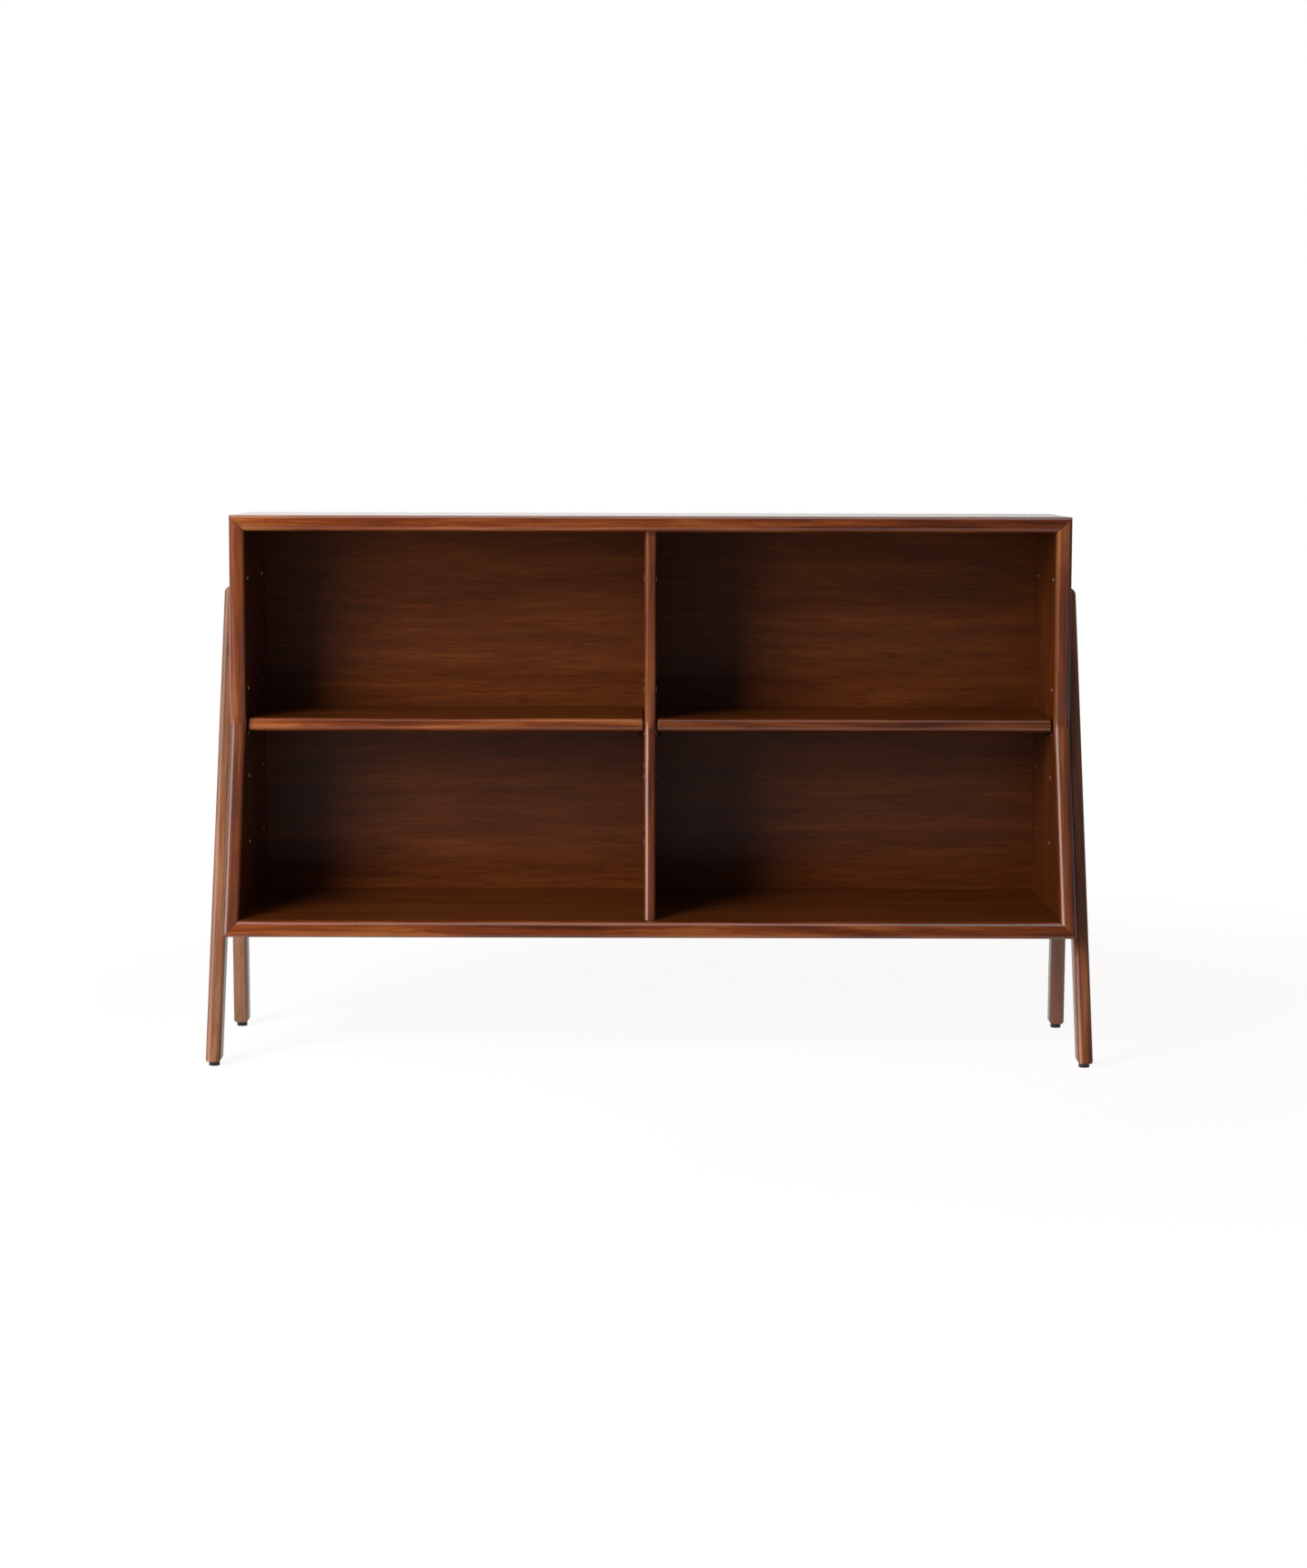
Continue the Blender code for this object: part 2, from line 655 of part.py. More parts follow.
def make_legs():
    section = leg_section()
    for side, sign in SIDES:
        for which, foot, lean in (("front", FRONT, FRONT_LEAN), ("rear", REAR_FOOT, -REAR_LEAN)):
            length = 2 * LEG_HEIGHT / math.cos(lean)
            place = (sign * LEG_MIDDLE, foot, FOOT_HEIGHT)
            name = which + "_" + side + "_leg"
            piece = add_piece(name, extruded(section, length), "walnut_leg", place, (-lean, 0, 0))
            trim(piece, (0, 0, FOOT_HEIGHT), (0, 0, -1))
            trim(piece, (0, 0, LEG_HEIGHT), (0, 0, 1))
            joint = Vector((0, math.cos(REAR_LEAN), math.sin(REAR_LEAN)))
            if which == "front":
                trim(piece, Vector((0, REAR_FOOT, FOOT_HEIGHT)) - joint * GAP, joint)
            round_leg_top(piece, sign)
            ease_foot(piece, sign)
            form = bmesh.new()
            for depth, height in leg_dowel_places(which):
                mouth = (sign * (CASE_HALF + GAP), depth, height)
                hole(form, mouth, (sign, 0, 0), DOWEL_RADIUS + GAP, DOWEL_LENGTH / 2 + GAP)
            depth, height = leg_joint_place()
            inward = -joint if which == "front" else joint
            mouth = (sign * LEG_MIDDLE, depth, height)
            hole(form, mouth, inward, LEG_JOINT_DOWEL_RADIUS + GAP, DOWEL_LENGTH / 2 + GAP)
            mouth = (sign * LEG_MIDDLE, leg_axis(which, FOOT_HEIGHT), FOOT_HEIGHT)
            hole(form, mouth, (0, 0, 1), PEG_RADIUS + GAP, PEG_LENGTH, SMALL_STEPS)
            cut(piece, form)


def make_dowels():
    wide = dowel(DOWEL_RADIUS, DOWEL_LENGTH)
    narrow = dowel(LEG_JOINT_DOWEL_RADIUS, DOWEL_LENGTH)
    joint = (0, math.cos(REAR_LEAN), math.sin(REAR_LEAN))
    joint_depth, joint_height = leg_joint_place()
    for side, sign in SIDES:
        places = []
        for which in ("front", "rear"):
            for depth, height in leg_dowel_places(which):
                places.append(pointing((sign * (CASE_HALF + GAP / 2), depth, height), (1, 0, 0)))
        repeat(side + "_leg_dowel", wide, places, "beech_dowel")
        place = pointing((sign * LEG_MIDDLE, joint_depth, joint_height), joint)
        repeat(side + "_leg_joint_dowel", narrow, [place], "beech_dowel")
    places = [pointing((0, depth, mouth), (0, 0, 1)) for depth, mouth in divider_dowel_places()]
    repeat("divider_dowel", wide, places, "beech_dowel")


def make_splines():
    for side, level, centre, tilt, length in spline_places():
        form = bmesh.new()
        add_spline(form, (0, 0, 0), 0, length, 0.0)
        mesh = bpy.data.meshes.new("spline")
        form.to_mesh(mesh)
        form.free()
        turn = (0, tilt * math.pi / 4, 0)
        add_piece(side + "_" + level + "_mitre_spline", mesh, "beech_dowel", centre, turn)


def make_glides():
    """The pad under each foot, with the peg that goes up into the leg."""
    top = GLIDE_HEIGHT + PEG_LENGTH
    peg_chamfer = PEG_RADIUS / 3
    profile = [(0, top), (PEG_RADIUS - peg_chamfer, top), (PEG_RADIUS, top - peg_chamfer)]
    profile += [(PEG_RADIUS, GLIDE_HEIGHT), (GLIDE_RADIUS, GLIDE_HEIGHT)]
    profile += [(GLIDE_RADIUS, GLIDE_CHAMFER), (GLIDE_RADIUS - GLIDE_CHAMFER, 0), (0, 0)]
    glide = turned(profile, GLIDE_STEPS)
    for name, x, y in foot_places():
        add_piece(name + "_glide", glide, "black_nylon", (x, y, 0))


def make_back_screws():
    tip = SCREW_LENGTH - SCREW_TIP
    profile = [(0, SCREW_LENGTH), (SCREW_RADIUS, tip), (SCREW_RADIUS, 0), (SCREW_HEAD_RADIUS, 0)]
    profile += [(SCREW_HEAD_RADIUS, -SCREW_HEAD_HEIGHT / 2)]
    profile += [(SCREW_HEAD_RADIUS / 2, -SCREW_HEAD_HEIGHT), (0, -SCREW_HEAD_HEIGHT)]
    under_head = BACK_FACE + BACK + 2 * GAP
    places = [pointing((x, under_head, z), (0, -1, 0)) for x, z, board in screw_places()]
    repeat("back_panel_screw", turned(profile, TINY_STEPS), places, "zinc_steel")


def smooth_curved_pieces():
    """Round work is shaded smooth, and real arrises stay sharp."""
    for piece in PARTS.objects:
        if "lipping" in piece.name or piece.name.endswith("_leg"):
            piece.data.shade_smooth()
            piece.data.set_sharp_from_angle(angle=SHARP_ANGLE)


clear_scene()
PARTS = new_collection("bookshelf")
CUTTERS = new_collection("cutters")
make_top_and_bottom()
make_side_panels()
make_divider()
make_back_panel()
make_level_lippings()
make_upright_lippings()
make_shelves()
make_shelf_pins()
make_legs()
make_dowels()
make_splines()
make_glides()
make_back_screws()
smooth_curved_pieces()
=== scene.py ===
# %% [markdown]
# # A low walnut bookcase, piece by piece
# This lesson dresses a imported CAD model. The model says where each board, leg and pin is,
# and the cells below make the visible pieces again with the finer shape that light shows:
# rounded edges, eased corners, bored holes. Then come the finishes, the light and the camera.
# Everything is in metres, the front faces -Y, and the floor is at Z = 0.

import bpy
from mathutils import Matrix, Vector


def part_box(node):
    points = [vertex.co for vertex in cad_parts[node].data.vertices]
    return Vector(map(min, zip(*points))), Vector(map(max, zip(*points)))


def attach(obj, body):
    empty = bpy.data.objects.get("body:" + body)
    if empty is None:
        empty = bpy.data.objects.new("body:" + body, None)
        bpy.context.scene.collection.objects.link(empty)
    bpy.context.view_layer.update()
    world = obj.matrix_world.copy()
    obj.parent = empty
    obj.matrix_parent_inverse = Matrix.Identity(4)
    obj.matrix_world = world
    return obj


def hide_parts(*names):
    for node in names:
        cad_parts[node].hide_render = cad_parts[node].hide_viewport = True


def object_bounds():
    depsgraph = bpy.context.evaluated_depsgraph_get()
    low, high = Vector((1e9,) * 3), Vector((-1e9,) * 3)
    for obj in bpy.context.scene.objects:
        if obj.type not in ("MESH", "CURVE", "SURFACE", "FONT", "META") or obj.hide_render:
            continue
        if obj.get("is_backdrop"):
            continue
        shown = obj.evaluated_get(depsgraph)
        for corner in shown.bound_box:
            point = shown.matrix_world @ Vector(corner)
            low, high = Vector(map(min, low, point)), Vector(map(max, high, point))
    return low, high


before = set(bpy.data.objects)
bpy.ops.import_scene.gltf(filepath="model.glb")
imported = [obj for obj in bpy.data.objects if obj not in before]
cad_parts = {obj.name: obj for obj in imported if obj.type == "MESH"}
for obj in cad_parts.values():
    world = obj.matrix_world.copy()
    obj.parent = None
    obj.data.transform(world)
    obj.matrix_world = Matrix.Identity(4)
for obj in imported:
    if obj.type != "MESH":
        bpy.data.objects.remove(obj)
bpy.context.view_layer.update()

# %% Import the tools
import math
from contextlib import contextmanager

import bmesh
import bpy
from mathutils import Matrix, Vector

# %% [markdown]
# ## The sizes of the case
# A joiner would work from a rod, a full size drawing with every line on it. These values are
# that rod. The front line of the case is upright above the bend and slopes forward below it,
# parallel to the front legs, so one function gives its place at any height.

# %% Sizes of the case
CASE_HALF = 0.625
TOP = 0.800
UNDERSIDE = 0.187
FRONT, REAR = -0.2075, 0.2075
UPPER_FRONT = -0.0575
BEND = 0.488
LEAN = math.radians(22)
BOARD = 0.0235
DIVIDER = 0.018
LIPPING = 0.010
GAP = 0.0003
INNER_SETBACK = 0.015
INNER_HALF = CASE_HALF - BOARD
TOP_UNDER = TOP - BOARD
FLOOR_TOP = UNDERSIDE + BOARD
REBATE_DEPTH, REBATE_WIDTH = 0.009, 0.010
BACK_FACE = REAR - REBATE_DEPTH
SIDES = (("left", -1), ("right", 1))


def front_line(height, inset=0.0):
    """How far forward the case reaches at a height, with the line moved in by an inset."""
    bend = BEND - inset * math.tan(LEAN / 2)
    return UPPER_FRONT + inset - max(bend - height, 0.0) * math.tan(LEAN)


print("front line at the underside:", round(front_line(UNDERSIDE), 4))

# %% [markdown]
# ## Bench tools
# Every piece starts as a rough block or a round rod and is worked with a few operations, as at
# a bench.
# Blender's operators act on all that is selected, so each tool first deselects everything,
# and edges or faces are then picked in code by where they are.


# %% A rough block, and a way to work on it
ALMOST_ALONG = 0.999


def only(piece):
    """Select one piece and nothing else."""
    bpy.ops.object.select_all(action="DESELECT")
    piece.select_set(True)
    bpy.context.view_layer.objects.active = piece


def settle(name):
    """Name the new primitive and put its place into its mesh."""
    piece = bpy.context.object
    piece.name = name
    piece.data.name = name
    bpy.ops.object.transform_apply()
    return piece


def block(name, low, high):
    """A rough sawn block between two corners."""
    low, high = Vector(low), Vector(high)
    bpy.ops.object.select_all(action="DESELECT")
    bpy.ops.mesh.primitive_cube_add(size=1, location=(low + high) / 2, scale=high - low)
    return settle(name)


@contextmanager
def editing(piece):
    """Edit one piece, with nothing selected at the start."""
    only(piece)
    bpy.ops.object.mode_set(mode="EDIT")
    bpy.ops.mesh.select_all(action="DESELECT")
    yield
    bpy.ops.object.mode_set(mode="OBJECT")


def pick(piece, kind, wanted):
    """In edit mode, select only the corners, edges or faces that pass a test."""
    bpy.ops.mesh.select_mode(type=kind)
    bpy.ops.mesh.select_all(action="DESELECT")
    form = bmesh.from_edit_mesh(piece.data)
    group = {"VERT": form.verts, "EDGE": form.edges, "FACE": form.faces}[kind]
    for item in group:
        if wanted(item):
            item.select_set(True)
    bmesh.update_edit_mesh(piece.data)


def middle(edge):
    """The middle of an edge."""
    return (edge.verts[0].co + edge.verts[1].co) / 2


def runs(edge, axis):
    """Whether an edge runs along an axis."""
    way = (edge.verts[1].co - edge.verts[0].co).normalized()
    return abs(way.dot(Vector(axis))) > ALMOST_ALONG


# %% [markdown]
# The saw cuts off all that lies on one side of a flat plane, and closes the cut. The hand plane
# rounds an edge with a bevel. A corner that two pieces share across a mitre is rounded with saw
# cuts set side by side on an arc, so that the round runs on from one piece to the other.

# %% Saw, plane and drill
NEAR, CUT_NEAR = 0.00001, 0.000001


def saw(piece, point, normal):
    """Saw off what lies beyond a plane."""
    with editing(piece):
        bpy.ops.mesh.select_all(action="SELECT")
        bpy.ops.mesh.bisect(
            plane_co=point, plane_no=normal, use_fill=True, clear_outer=True, threshold=CUT_NEAR
        )


def round_over(piece, radius, cuts, wanted):
    """Round the edges that pass a test."""
    with editing(piece):
        pick(piece, "EDGE", wanted)
        bpy.ops.mesh.bevel(offset=radius, segments=cuts, affect="EDGES", clamp_overlap=False)


def round_corner(piece, x, z, radius, start, cuts):
    """Round a corner that runs front to back: a quarter turn of saw cuts about a centre."""
    for number in range(cuts):
        angle = math.radians(start + 90 * (number + 0.5) / cuts)
        normal = Vector((math.cos(angle), 0, math.sin(angle)))
        saw(piece, Vector((x, 0, z)) + normal * radius, normal)


def take_out(piece, cutters):
    """Cut the shape of other solids out of a piece, and remove them."""
    for cutter in cutters:
        only(piece)
        cut = piece.modifiers.new("cut", "BOOLEAN")
        cut.operation = "DIFFERENCE"
        cut.object = cutter
        bpy.ops.object.modifier_apply(modifier=cut.name)
        bpy.data.objects.remove(cutter)


def rod(name, centre, axis, radius, length, facets=24):
    """A round rod about a centre, along an axis."""
    turn = Vector((0, 0, 1)).rotation_difference(Vector(axis)).to_euler()
    bpy.ops.object.select_all(action="DESELECT")
    bpy.ops.mesh.primitive_cylinder_add(
        vertices=facets, radius=radius, depth=length, location=centre, rotation=turn
    )
    return settle(name)


def drills(centres, axis, radius, length):
    """Drills of one size as one cutter."""
    made = [rod("drill", centre, axis, radius, length) for centre in centres]
    bpy.ops.object.select_all(action="DESELECT")
    for drill in made:
        drill.select_set(True)
    bpy.context.view_layer.objects.active = made[0]
    bpy.ops.object.join()
    return made[0]


# %% [markdown]
# A smooth edge beside a flat face needs care: plain smooth shading bends the light on the flat
# as well. Smoothing by angle keeps real arrises, and the Weighted Normal modifier lets the
# large faces decide, so flats stay flat. Each finished piece then takes the place of its CAD
# node: it rides on the same body, and says which finish of the record it has.

# %% Finish a piece and put it in place
SHARP = math.radians(32)
finish_of = {}


def polish(piece):
    """Smooth the rounds, and keep the flats flat."""
    only(piece)
    bpy.ops.object.shade_smooth_by_angle(angle=SHARP)
    weigh = piece.modifiers.new("flats", "WEIGHTED_NORMAL")
    weigh.weight = 100
    weigh.keep_sharp = True
    bpy.ops.object.modifier_apply(modifier=weigh.name)


def box_of(piece):
    """The lowest and highest corners of a piece's mesh."""
    places = [v.co for v in piece.data.vertices]
    return Vector(map(min, zip(*places))), Vector(map(max, zip(*places)))


def set_in_place(piece, node, body, finish):
    """Let a finished piece stand for a CAD node."""
    polish(piece)
    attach(piece, body)
    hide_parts(node)
    finish_of[piece.name] = finish
    corners = zip(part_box(node), box_of(piece))
    off = max(abs(a - b) for wanted, made in corners for a, b in zip(wanted, made))
    faces = len(piece.data.polygons)
    print(f"{piece.name}: {faces} faces, box within {off * 1000:.2f} mm of {node}")


# %% [markdown]
# ## Hidden joints
# The boards are held by dowels and by splines across the mitres. They can't be seen, so they
# stay as CAD nodes, but the boards are bored and slotted round them, as a joiner would do. A
# dowel's hole is found from the dowel: its box gives the centre and the way it points.

# %% Holes for dowels, and slots for splines
DOWEL_CLEARANCE = 0.0003
SPLINE = 0.016 + 2 * GAP, 0.004 + 2 * GAP


def dowel_holes(prefix):
    """One drill for each CAD dowel with this name, a little larger than the dowel."""
    made = []
    for name in sorted(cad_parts):
        if name.startswith(prefix):
            low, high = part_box(name)
            size = high - low
            longest = max(range(3), key=lambda way: size[way])
            axis = [0, 0, 0]
            axis[longest] = 1
            radius = min(size) / 2 + DOWEL_CLEARANCE
            made.append(rod("drill", (low + high) / 2, axis, radius, size[longest] + 2 * GAP))
    return made


def spline_slots(side, level):
    """The slot of a mitre spline: a strip turned by 45 degrees about the Y axis."""
    low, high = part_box(f"{side}_{level}_mitre_spline")
    centre = (low + high) / 2
    width, thickness = SPLINE
    sign = (1 if side == "right" else -1) * (1 if level == "upper" else -1)
    bpy.ops.object.select_all(action="DESELECT")
    bpy.ops.mesh.primitive_cube_add(
        size=1,
        location=centre,
        rotation=(0, sign * math.pi / 4, 0),
        scale=(width, high.y - low.y + 2 * GAP, thickness),
    )
    return [settle("slot")]


def rebate():
    """The step round the inside of the rear edge, which takes the back panel."""
    reach = INNER_HALF + REBATE_WIDTH
    low = (-reach, BACK_FACE, FLOOR_TOP - REBATE_WIDTH)
    return [block("rebate", low, (reach, REAR + LIPPING, TOP_UNDER + REBATE_WIDTH))]


# %% [markdown]
# ## Top and bottom
# The case is mitred: each board's end is sawn at 45 degrees, and the outer corner is rounded by
# 2 mm. The bottom board's front edge leans with the case. Each is a block, sawn at both ends.

# %% Top and bottom boards
CORNER = 0.002
CORNER_CUTS = 6
MITRE_SHIFT = GAP / math.sqrt(2)


def saw_corner(piece, sign, level):
    """Saw a level piece's mitre at one end, and round the outer corner."""
    up = 1 if level == "top" else -1
    edge = TOP if up > 0 else UNDERSIDE
    saw(piece, (sign * (CASE_HALF - MITRE_SHIFT), 0, edge), (sign, 0, -up))
    round_outer_corner(piece, sign, up)


def round_outer_corner(piece, sign, up):
    """Round an outer corner of the case, at the top or at the underside."""
    edge = TOP if up > 0 else UNDERSIDE
    start = {(1, 1): 0, (-1, 1): 90, (-1, -1): 180, (1, -1): 270}[sign, up]
    round_corner(piece, sign * (CASE_HALF - CORNER), edge - up * CORNER, CORNER, start, CORNER_CUTS)


def level_board(level, low, high):
    """The top or the bottom board, between two heights."""
    name = level + "_panel"
    front = front_line(low) - LIPPING
    piece = block(name + "_board", (-CASE_HALF, front, low), (CASE_HALF, REAR, high))
    lean = LEAN if level == "bottom" else 0.0
    height = (low + high) / 2
    saw(piece, (0, front_line(height, LIPPING), height), (0, -math.cos(lean), math.sin(lean)))
    for side, sign in SIDES:
        saw_corner(piece, sign, level)
    cutters = rebate()
    for side, sign in SIDES:
        cutters += spline_slots(side, "upper" if level == "top" else "lower")
    take_out(piece, cutters + dowel_holes("divider_dowel"))
    set_in_place(piece, name, "case", "veneer_level")
    return piece


level_board("top", TOP_UNDER, TOP)
level_board("bottom", UNDERSIDE, FLOOR_TOP)

# %% [markdown]
# ## Sides and divider
# An upright board has the bent front edge. It is easy to make from a block: one cut round it at
# the height of the bend, then the two front corners at the bottom are pulled forward. The rows
# of holes for the shelf pins are bored with one joined set of drills, as with a boring jig.

# %% Upright boards with the bent front edge
PIN_RADIUS = 0.0025
PIN_HEIGHT = 0.4752
PIN_SETBACK = 0.037
PIN_DEPTHS = UPPER_FRONT + PIN_SETBACK, BACK_FACE - PIN_SETBACK
HOLE_PITCH = 0.033
HOLE_STEPS = (-5, -2, 0, 2, 7)
HOLE_DEPTH = 0.0078
OVERRUN = 1.001
SLEEVE_RADIUS = 0.0029


def pin_places():
    """Depth and height of the pin holes in one face."""
    return [(y, PIN_HEIGHT + HOLE_PITCH * step) for y in PIN_DEPTHS for step in HOLE_STEPS]


def upright_board(name, x_low, x_high, inset, low, high, rear):
    """A block with one cut round it at the bend, and its lower front edge pulled forward."""
    piece = block(name, (x_low, UPPER_FRONT + inset, low), (x_high, rear, high))
    pull = front_line(low, inset) - UPPER_FRONT - inset
    with editing(piece):
        bpy.ops.mesh.select_all(action="SELECT")
        bpy.ops.mesh.bisect(plane_co=(0, 0, BEND - inset * math.tan(LEAN / 2)), plane_no=(0, 0, 1))
        pick(piece, "VERT", lambda v: v.co.z < low + NEAR and v.co.y < 0)
        bpy.ops.transform.translate(value=(0, pull, 0))
    return piece


def pin_drills(face, inward):
    """Drills for all the pin holes of one face, a hair longer so that no skin is left."""
    centres = [(face + inward * HOLE_DEPTH / 2, y, z) for y, z in pin_places()]
    return [drills(centres, (1, 0, 0), SLEEVE_RADIUS, HOLE_DEPTH * OVERRUN)]


for side, sign in SIDES:
    name = side + "_side_panel"
    faces = sorted((sign * INNER_HALF, sign * CASE_HALF))
    piece = upright_board(name + "_board", *faces, LIPPING, UNDERSIDE, TOP, REAR)
    for up, edge in ((1, TOP), (-1, UNDERSIDE)):
        saw(piece, (sign * CASE_HALF, 0, edge - up * MITRE_SHIFT), (-sign, 0, up))
        round_outer_corner(piece, sign, up)
    slots = spline_slots(side, "upper") + spline_slots(side, "lower")
    cutters = rebate() + slots + pin_drills(sign * INNER_HALF, sign)
    take_out(piece, cutters + dowel_holes(side + "_leg_dowel"))
    set_in_place(piece, name, "case", "veneer_upright")

divider = upright_board(
    "centre_divider_board",
    -DIVIDER / 2,
    DIVIDER / 2,
    INNER_SETBACK + LIPPING,
    FLOOR_TOP + GAP,
    TOP_UNDER - GAP,
    BACK_FACE - GAP,
)
cutters = pin_drills(-DIVIDER / 2, 1) + pin_drills(DIVIDER / 2, -1) + dowel_holes("divider_dowel")
take_out(divider, cutters)
set_in_place(divider, "centre_divider", "case", "veneer_upright")

# %% [markdown]
# ## Back panel
# A thin veneered panel lies in the rebate. Its edges are eased, so that a fine line shows round
# it from behind.

# %% Back panel
BACK = 0.006
EASED, EASED_CUTS = 0.0005, 2
reach = INNER_HALF + REBATE_WIDTH - GAP
back = block(
    "back_panel_board",
    (-reach, BACK_FACE + GAP, FLOOR_TOP - REBATE_WIDTH + GAP),
    (reach, BACK_FACE + GAP + BACK, TOP_UNDER + REBATE_WIDTH - GAP),
)
round_over(
    back,
    EASED,
    EASED_CUTS,
    lambda e: middle(e).y > BACK_FACE + BACK - NEAR and not runs(e, (0, 1, 0)),
)
set_in_place(back, "back_panel", "case", "veneer_back")

# %% [markdown]
# ## Lippings
# Veneered boards get solid wood along the edges that show. Here every lipping has both front
# arrises rounded to 7.8 mm, which is what catches the light in long bright lines. A lipping
# starts as a strip with those rounds, and is then sawn to its mitres.

# %% Level lippings
ROUNDING = 0.0078
ROUND_CUTS = 14


def strip(name, low, high, along):
    """A strip with both front arrises rounded; it runs along an axis."""
    piece = block(name, low, high)
    front = low[1]
    round_over(piece, ROUNDING, ROUND_CUTS, lambda e: runs(e, along) and middle(e).y < front + NEAR)
    return piece


top_strip = strip(
    "top_lipping_strip",
    (-CASE_HALF, UPPER_FRONT, TOP_UNDER),
    (CASE_HALF, UPPER_FRONT + LIPPING, TOP),
    (1, 0, 0),
)
for side, sign in SIDES:
    saw_corner(top_strip, sign, "top")
set_in_place(top_strip, "top_lipping", "case", "lipping_level")

# %% Bottom lipping, whose face leans with the case
bottom_strip = block(
    "bottom_lipping_strip",
    (-CASE_HALF, front_line(UNDERSIDE), UNDERSIDE),
    (CASE_HALF, front_line(UNDERSIDE, LIPPING), FLOOR_TOP),
)
with editing(bottom_strip):
    pick(bottom_strip, "FACE", lambda f: f.normal.z > 0.9)
    bpy.ops.transform.translate(value=(0, BOARD * math.tan(LEAN), 0))
fronts = (front_line(UNDERSIDE), front_line(FLOOR_TOP))
round_over(
    bottom_strip,
    ROUNDING,
    ROUND_CUTS,
    lambda e: runs(e, (1, 0, 0)) and min(abs(middle(e).y - y) for y in fronts) < NEAR,
)
for side, sign in SIDES:
    saw_corner(bottom_strip, sign, "bottom")
set_in_place(bottom_strip, "bottom_lipping", "case", "lipping_level")

# %% [markdown]
# An upright edge has two lippings that meet in a mitre at the bend. The lower one is made
# upright and then turned about the bend. Its saw cut bisects the angle between the two. On the
# real piece the bend is sanded to a gentle hollow, about 14 mm long each way.

# %% Upright lippings, in pairs that meet at the bend
EASE = 0.014
EASE_CUTS, CUTS_PAST_BEND = 6, 2
HAIRLINE = 0.00004


def lean_back(piece, angle, centre):
    """Turn a piece about a line that runs along X through a point; its foot comes forward."""
    only(piece)
    bpy.ops.transform.rotate(value=angle, orient_axis="X", center_override=centre)
    bpy.ops.object.transform_apply()


def ease_bend(piece, bend, way):
    """Bring a strip's front forward towards the bend, as one half of a gentle hollow."""
    back = bend + Vector((0, LIPPING, 0))
    steps = [EASE * number / EASE_CUTS for number in range(-CUTS_PAST_BEND, EASE_CUTS + 1)]
    with editing(piece):
        for along in steps:
            bpy.ops.mesh.select_all(action="SELECT")
            plane = (0, 0, bend.z + way * along)
            bpy.ops.mesh.bisect(plane_co=plane, plane_no=(0, 0, 1), threshold=CUT_NEAR)
        for along in steps:
            pick(piece, "VERT", lambda v: abs(v.co.z - bend.z - way * along) < NEAR)
            forward = (EASE - along) ** 2 * math.tan(LEAN / 2) / (2 * EASE)
            bpy.ops.transform.resize(value=(1, 1 + forward / LIPPING, 1), center_override=back)


def bent_strips(prefix, x, width, inset, low, high):
    """The upper and the lower strip of one upright edge."""
    bend = Vector((x, UPPER_FRONT + inset, BEND - inset * math.tan(LEAN / 2)))
    across = Vector((0, math.sin(LEAN / 2), math.cos(LEAN / 2)))
    made = []
    for level, way in (("upper", 1), ("lower", -1)):
        ends = sorted((bend.z - way * LIPPING, bend.z + way * (high - low)))
        piece = strip(
            f"{prefix}_{level}_lipping_strip",
            (x - width / 2, bend.y, ends[0]),
            (x + width / 2, bend.y + LIPPING, ends[1]),
            (0, 0, 1),
        )
        ease_bend(piece, bend, way)
        if level == "lower":
            lean_back(piece, LEAN, bend)
        saw(piece, bend + across * way * HAIRLINE, -across * way)
        made.append(piece)
    return made


for side, sign in SIDES:
    upper, lower = bent_strips(side, sign * (CASE_HALF - BOARD / 2), BOARD, 0.0, UNDERSIDE, TOP)
    for piece, up, edge in ((upper, 1, TOP), (lower, -1, UNDERSIDE)):
        saw(piece, (sign * CASE_HALF, 0, edge - up * MITRE_SHIFT), (-sign, 0, up))
        round_outer_corner(piece, sign, up)
    for piece, level, way in ((upper, "upper", "upright"), (lower, "lower", "sloped")):
        finish = f"lipping_{way}_{side}"
        set_in_place(piece, f"{side}_{level}_lipping", "case", finish)

upper, lower = bent_strips("divider", 0.0, DIVIDER, INNER_SETBACK, FLOOR_TOP, TOP_UNDER)
saw(upper, (0, 0, TOP_UNDER - GAP), (0, 0, 1))
saw(lower, (0, 0, FLOOR_TOP + GAP), (0, 0, -1))
set_in_place(upper, "divider_upper_lipping", "case", "lipping_upright_right")
set_in_place(lower, "divider_lower_lipping", "case", "lipping_sloped_right")

# %% [markdown]
# ## Loose shelves
# Each shelf is a veneered board with its own lipping, and rests on four pins. Both ends are
# eased a little, because a loose shelf is handled.

# %% Shelves
SHELF_EASED, SHELF_CUTS = 0.0012, 3
# The right shelf's lipping takes darker tones: painted shade, for the weaker light on the right.
EDGE_FINISH = {"left": "lipping_level", "right": "lipping_painted_shade"}
for side, sign in SIDES:
    body = side + "_loose_shelf"
    low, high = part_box(side + "_shelf")
    board = block(side + "_shelf_board", (low.x, low.y - GAP, low.z), high)
    ends = (low.x, high.x)
    round_over(
        board,
        EASED,
        EASED_CUTS,
        lambda e: not runs(e, (1, 0, 0)) and middle(e).y > low.y + LIPPING,
    )
    set_in_place(board, side + "_shelf", body, "veneer_level")
    low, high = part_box(side + "_shelf_lipping")
    edge = strip(side + "_shelf_lipping_strip", low, high, (1, 0, 0))
    round_over(
        edge,
        SHELF_EASED,
        SHELF_CUTS,
        lambda e: min(abs(middle(e).x - x) for x in ends) < NEAR and middle(e).y < high.y - NEAR,
    )
    set_in_place(edge, side + "_shelf_lipping", body, EDGE_FINISH[side])

# %% [markdown]
# ## Legs
# A leg is a solid bar with all four long arrises rounded by 8 mm. It is made upright, leant over
# about its foot, and sawn level at foot and top. The front leg is cut where the rear leg passes
# behind it. The top is rounded towards the outside, and the foot has a small chamfer.

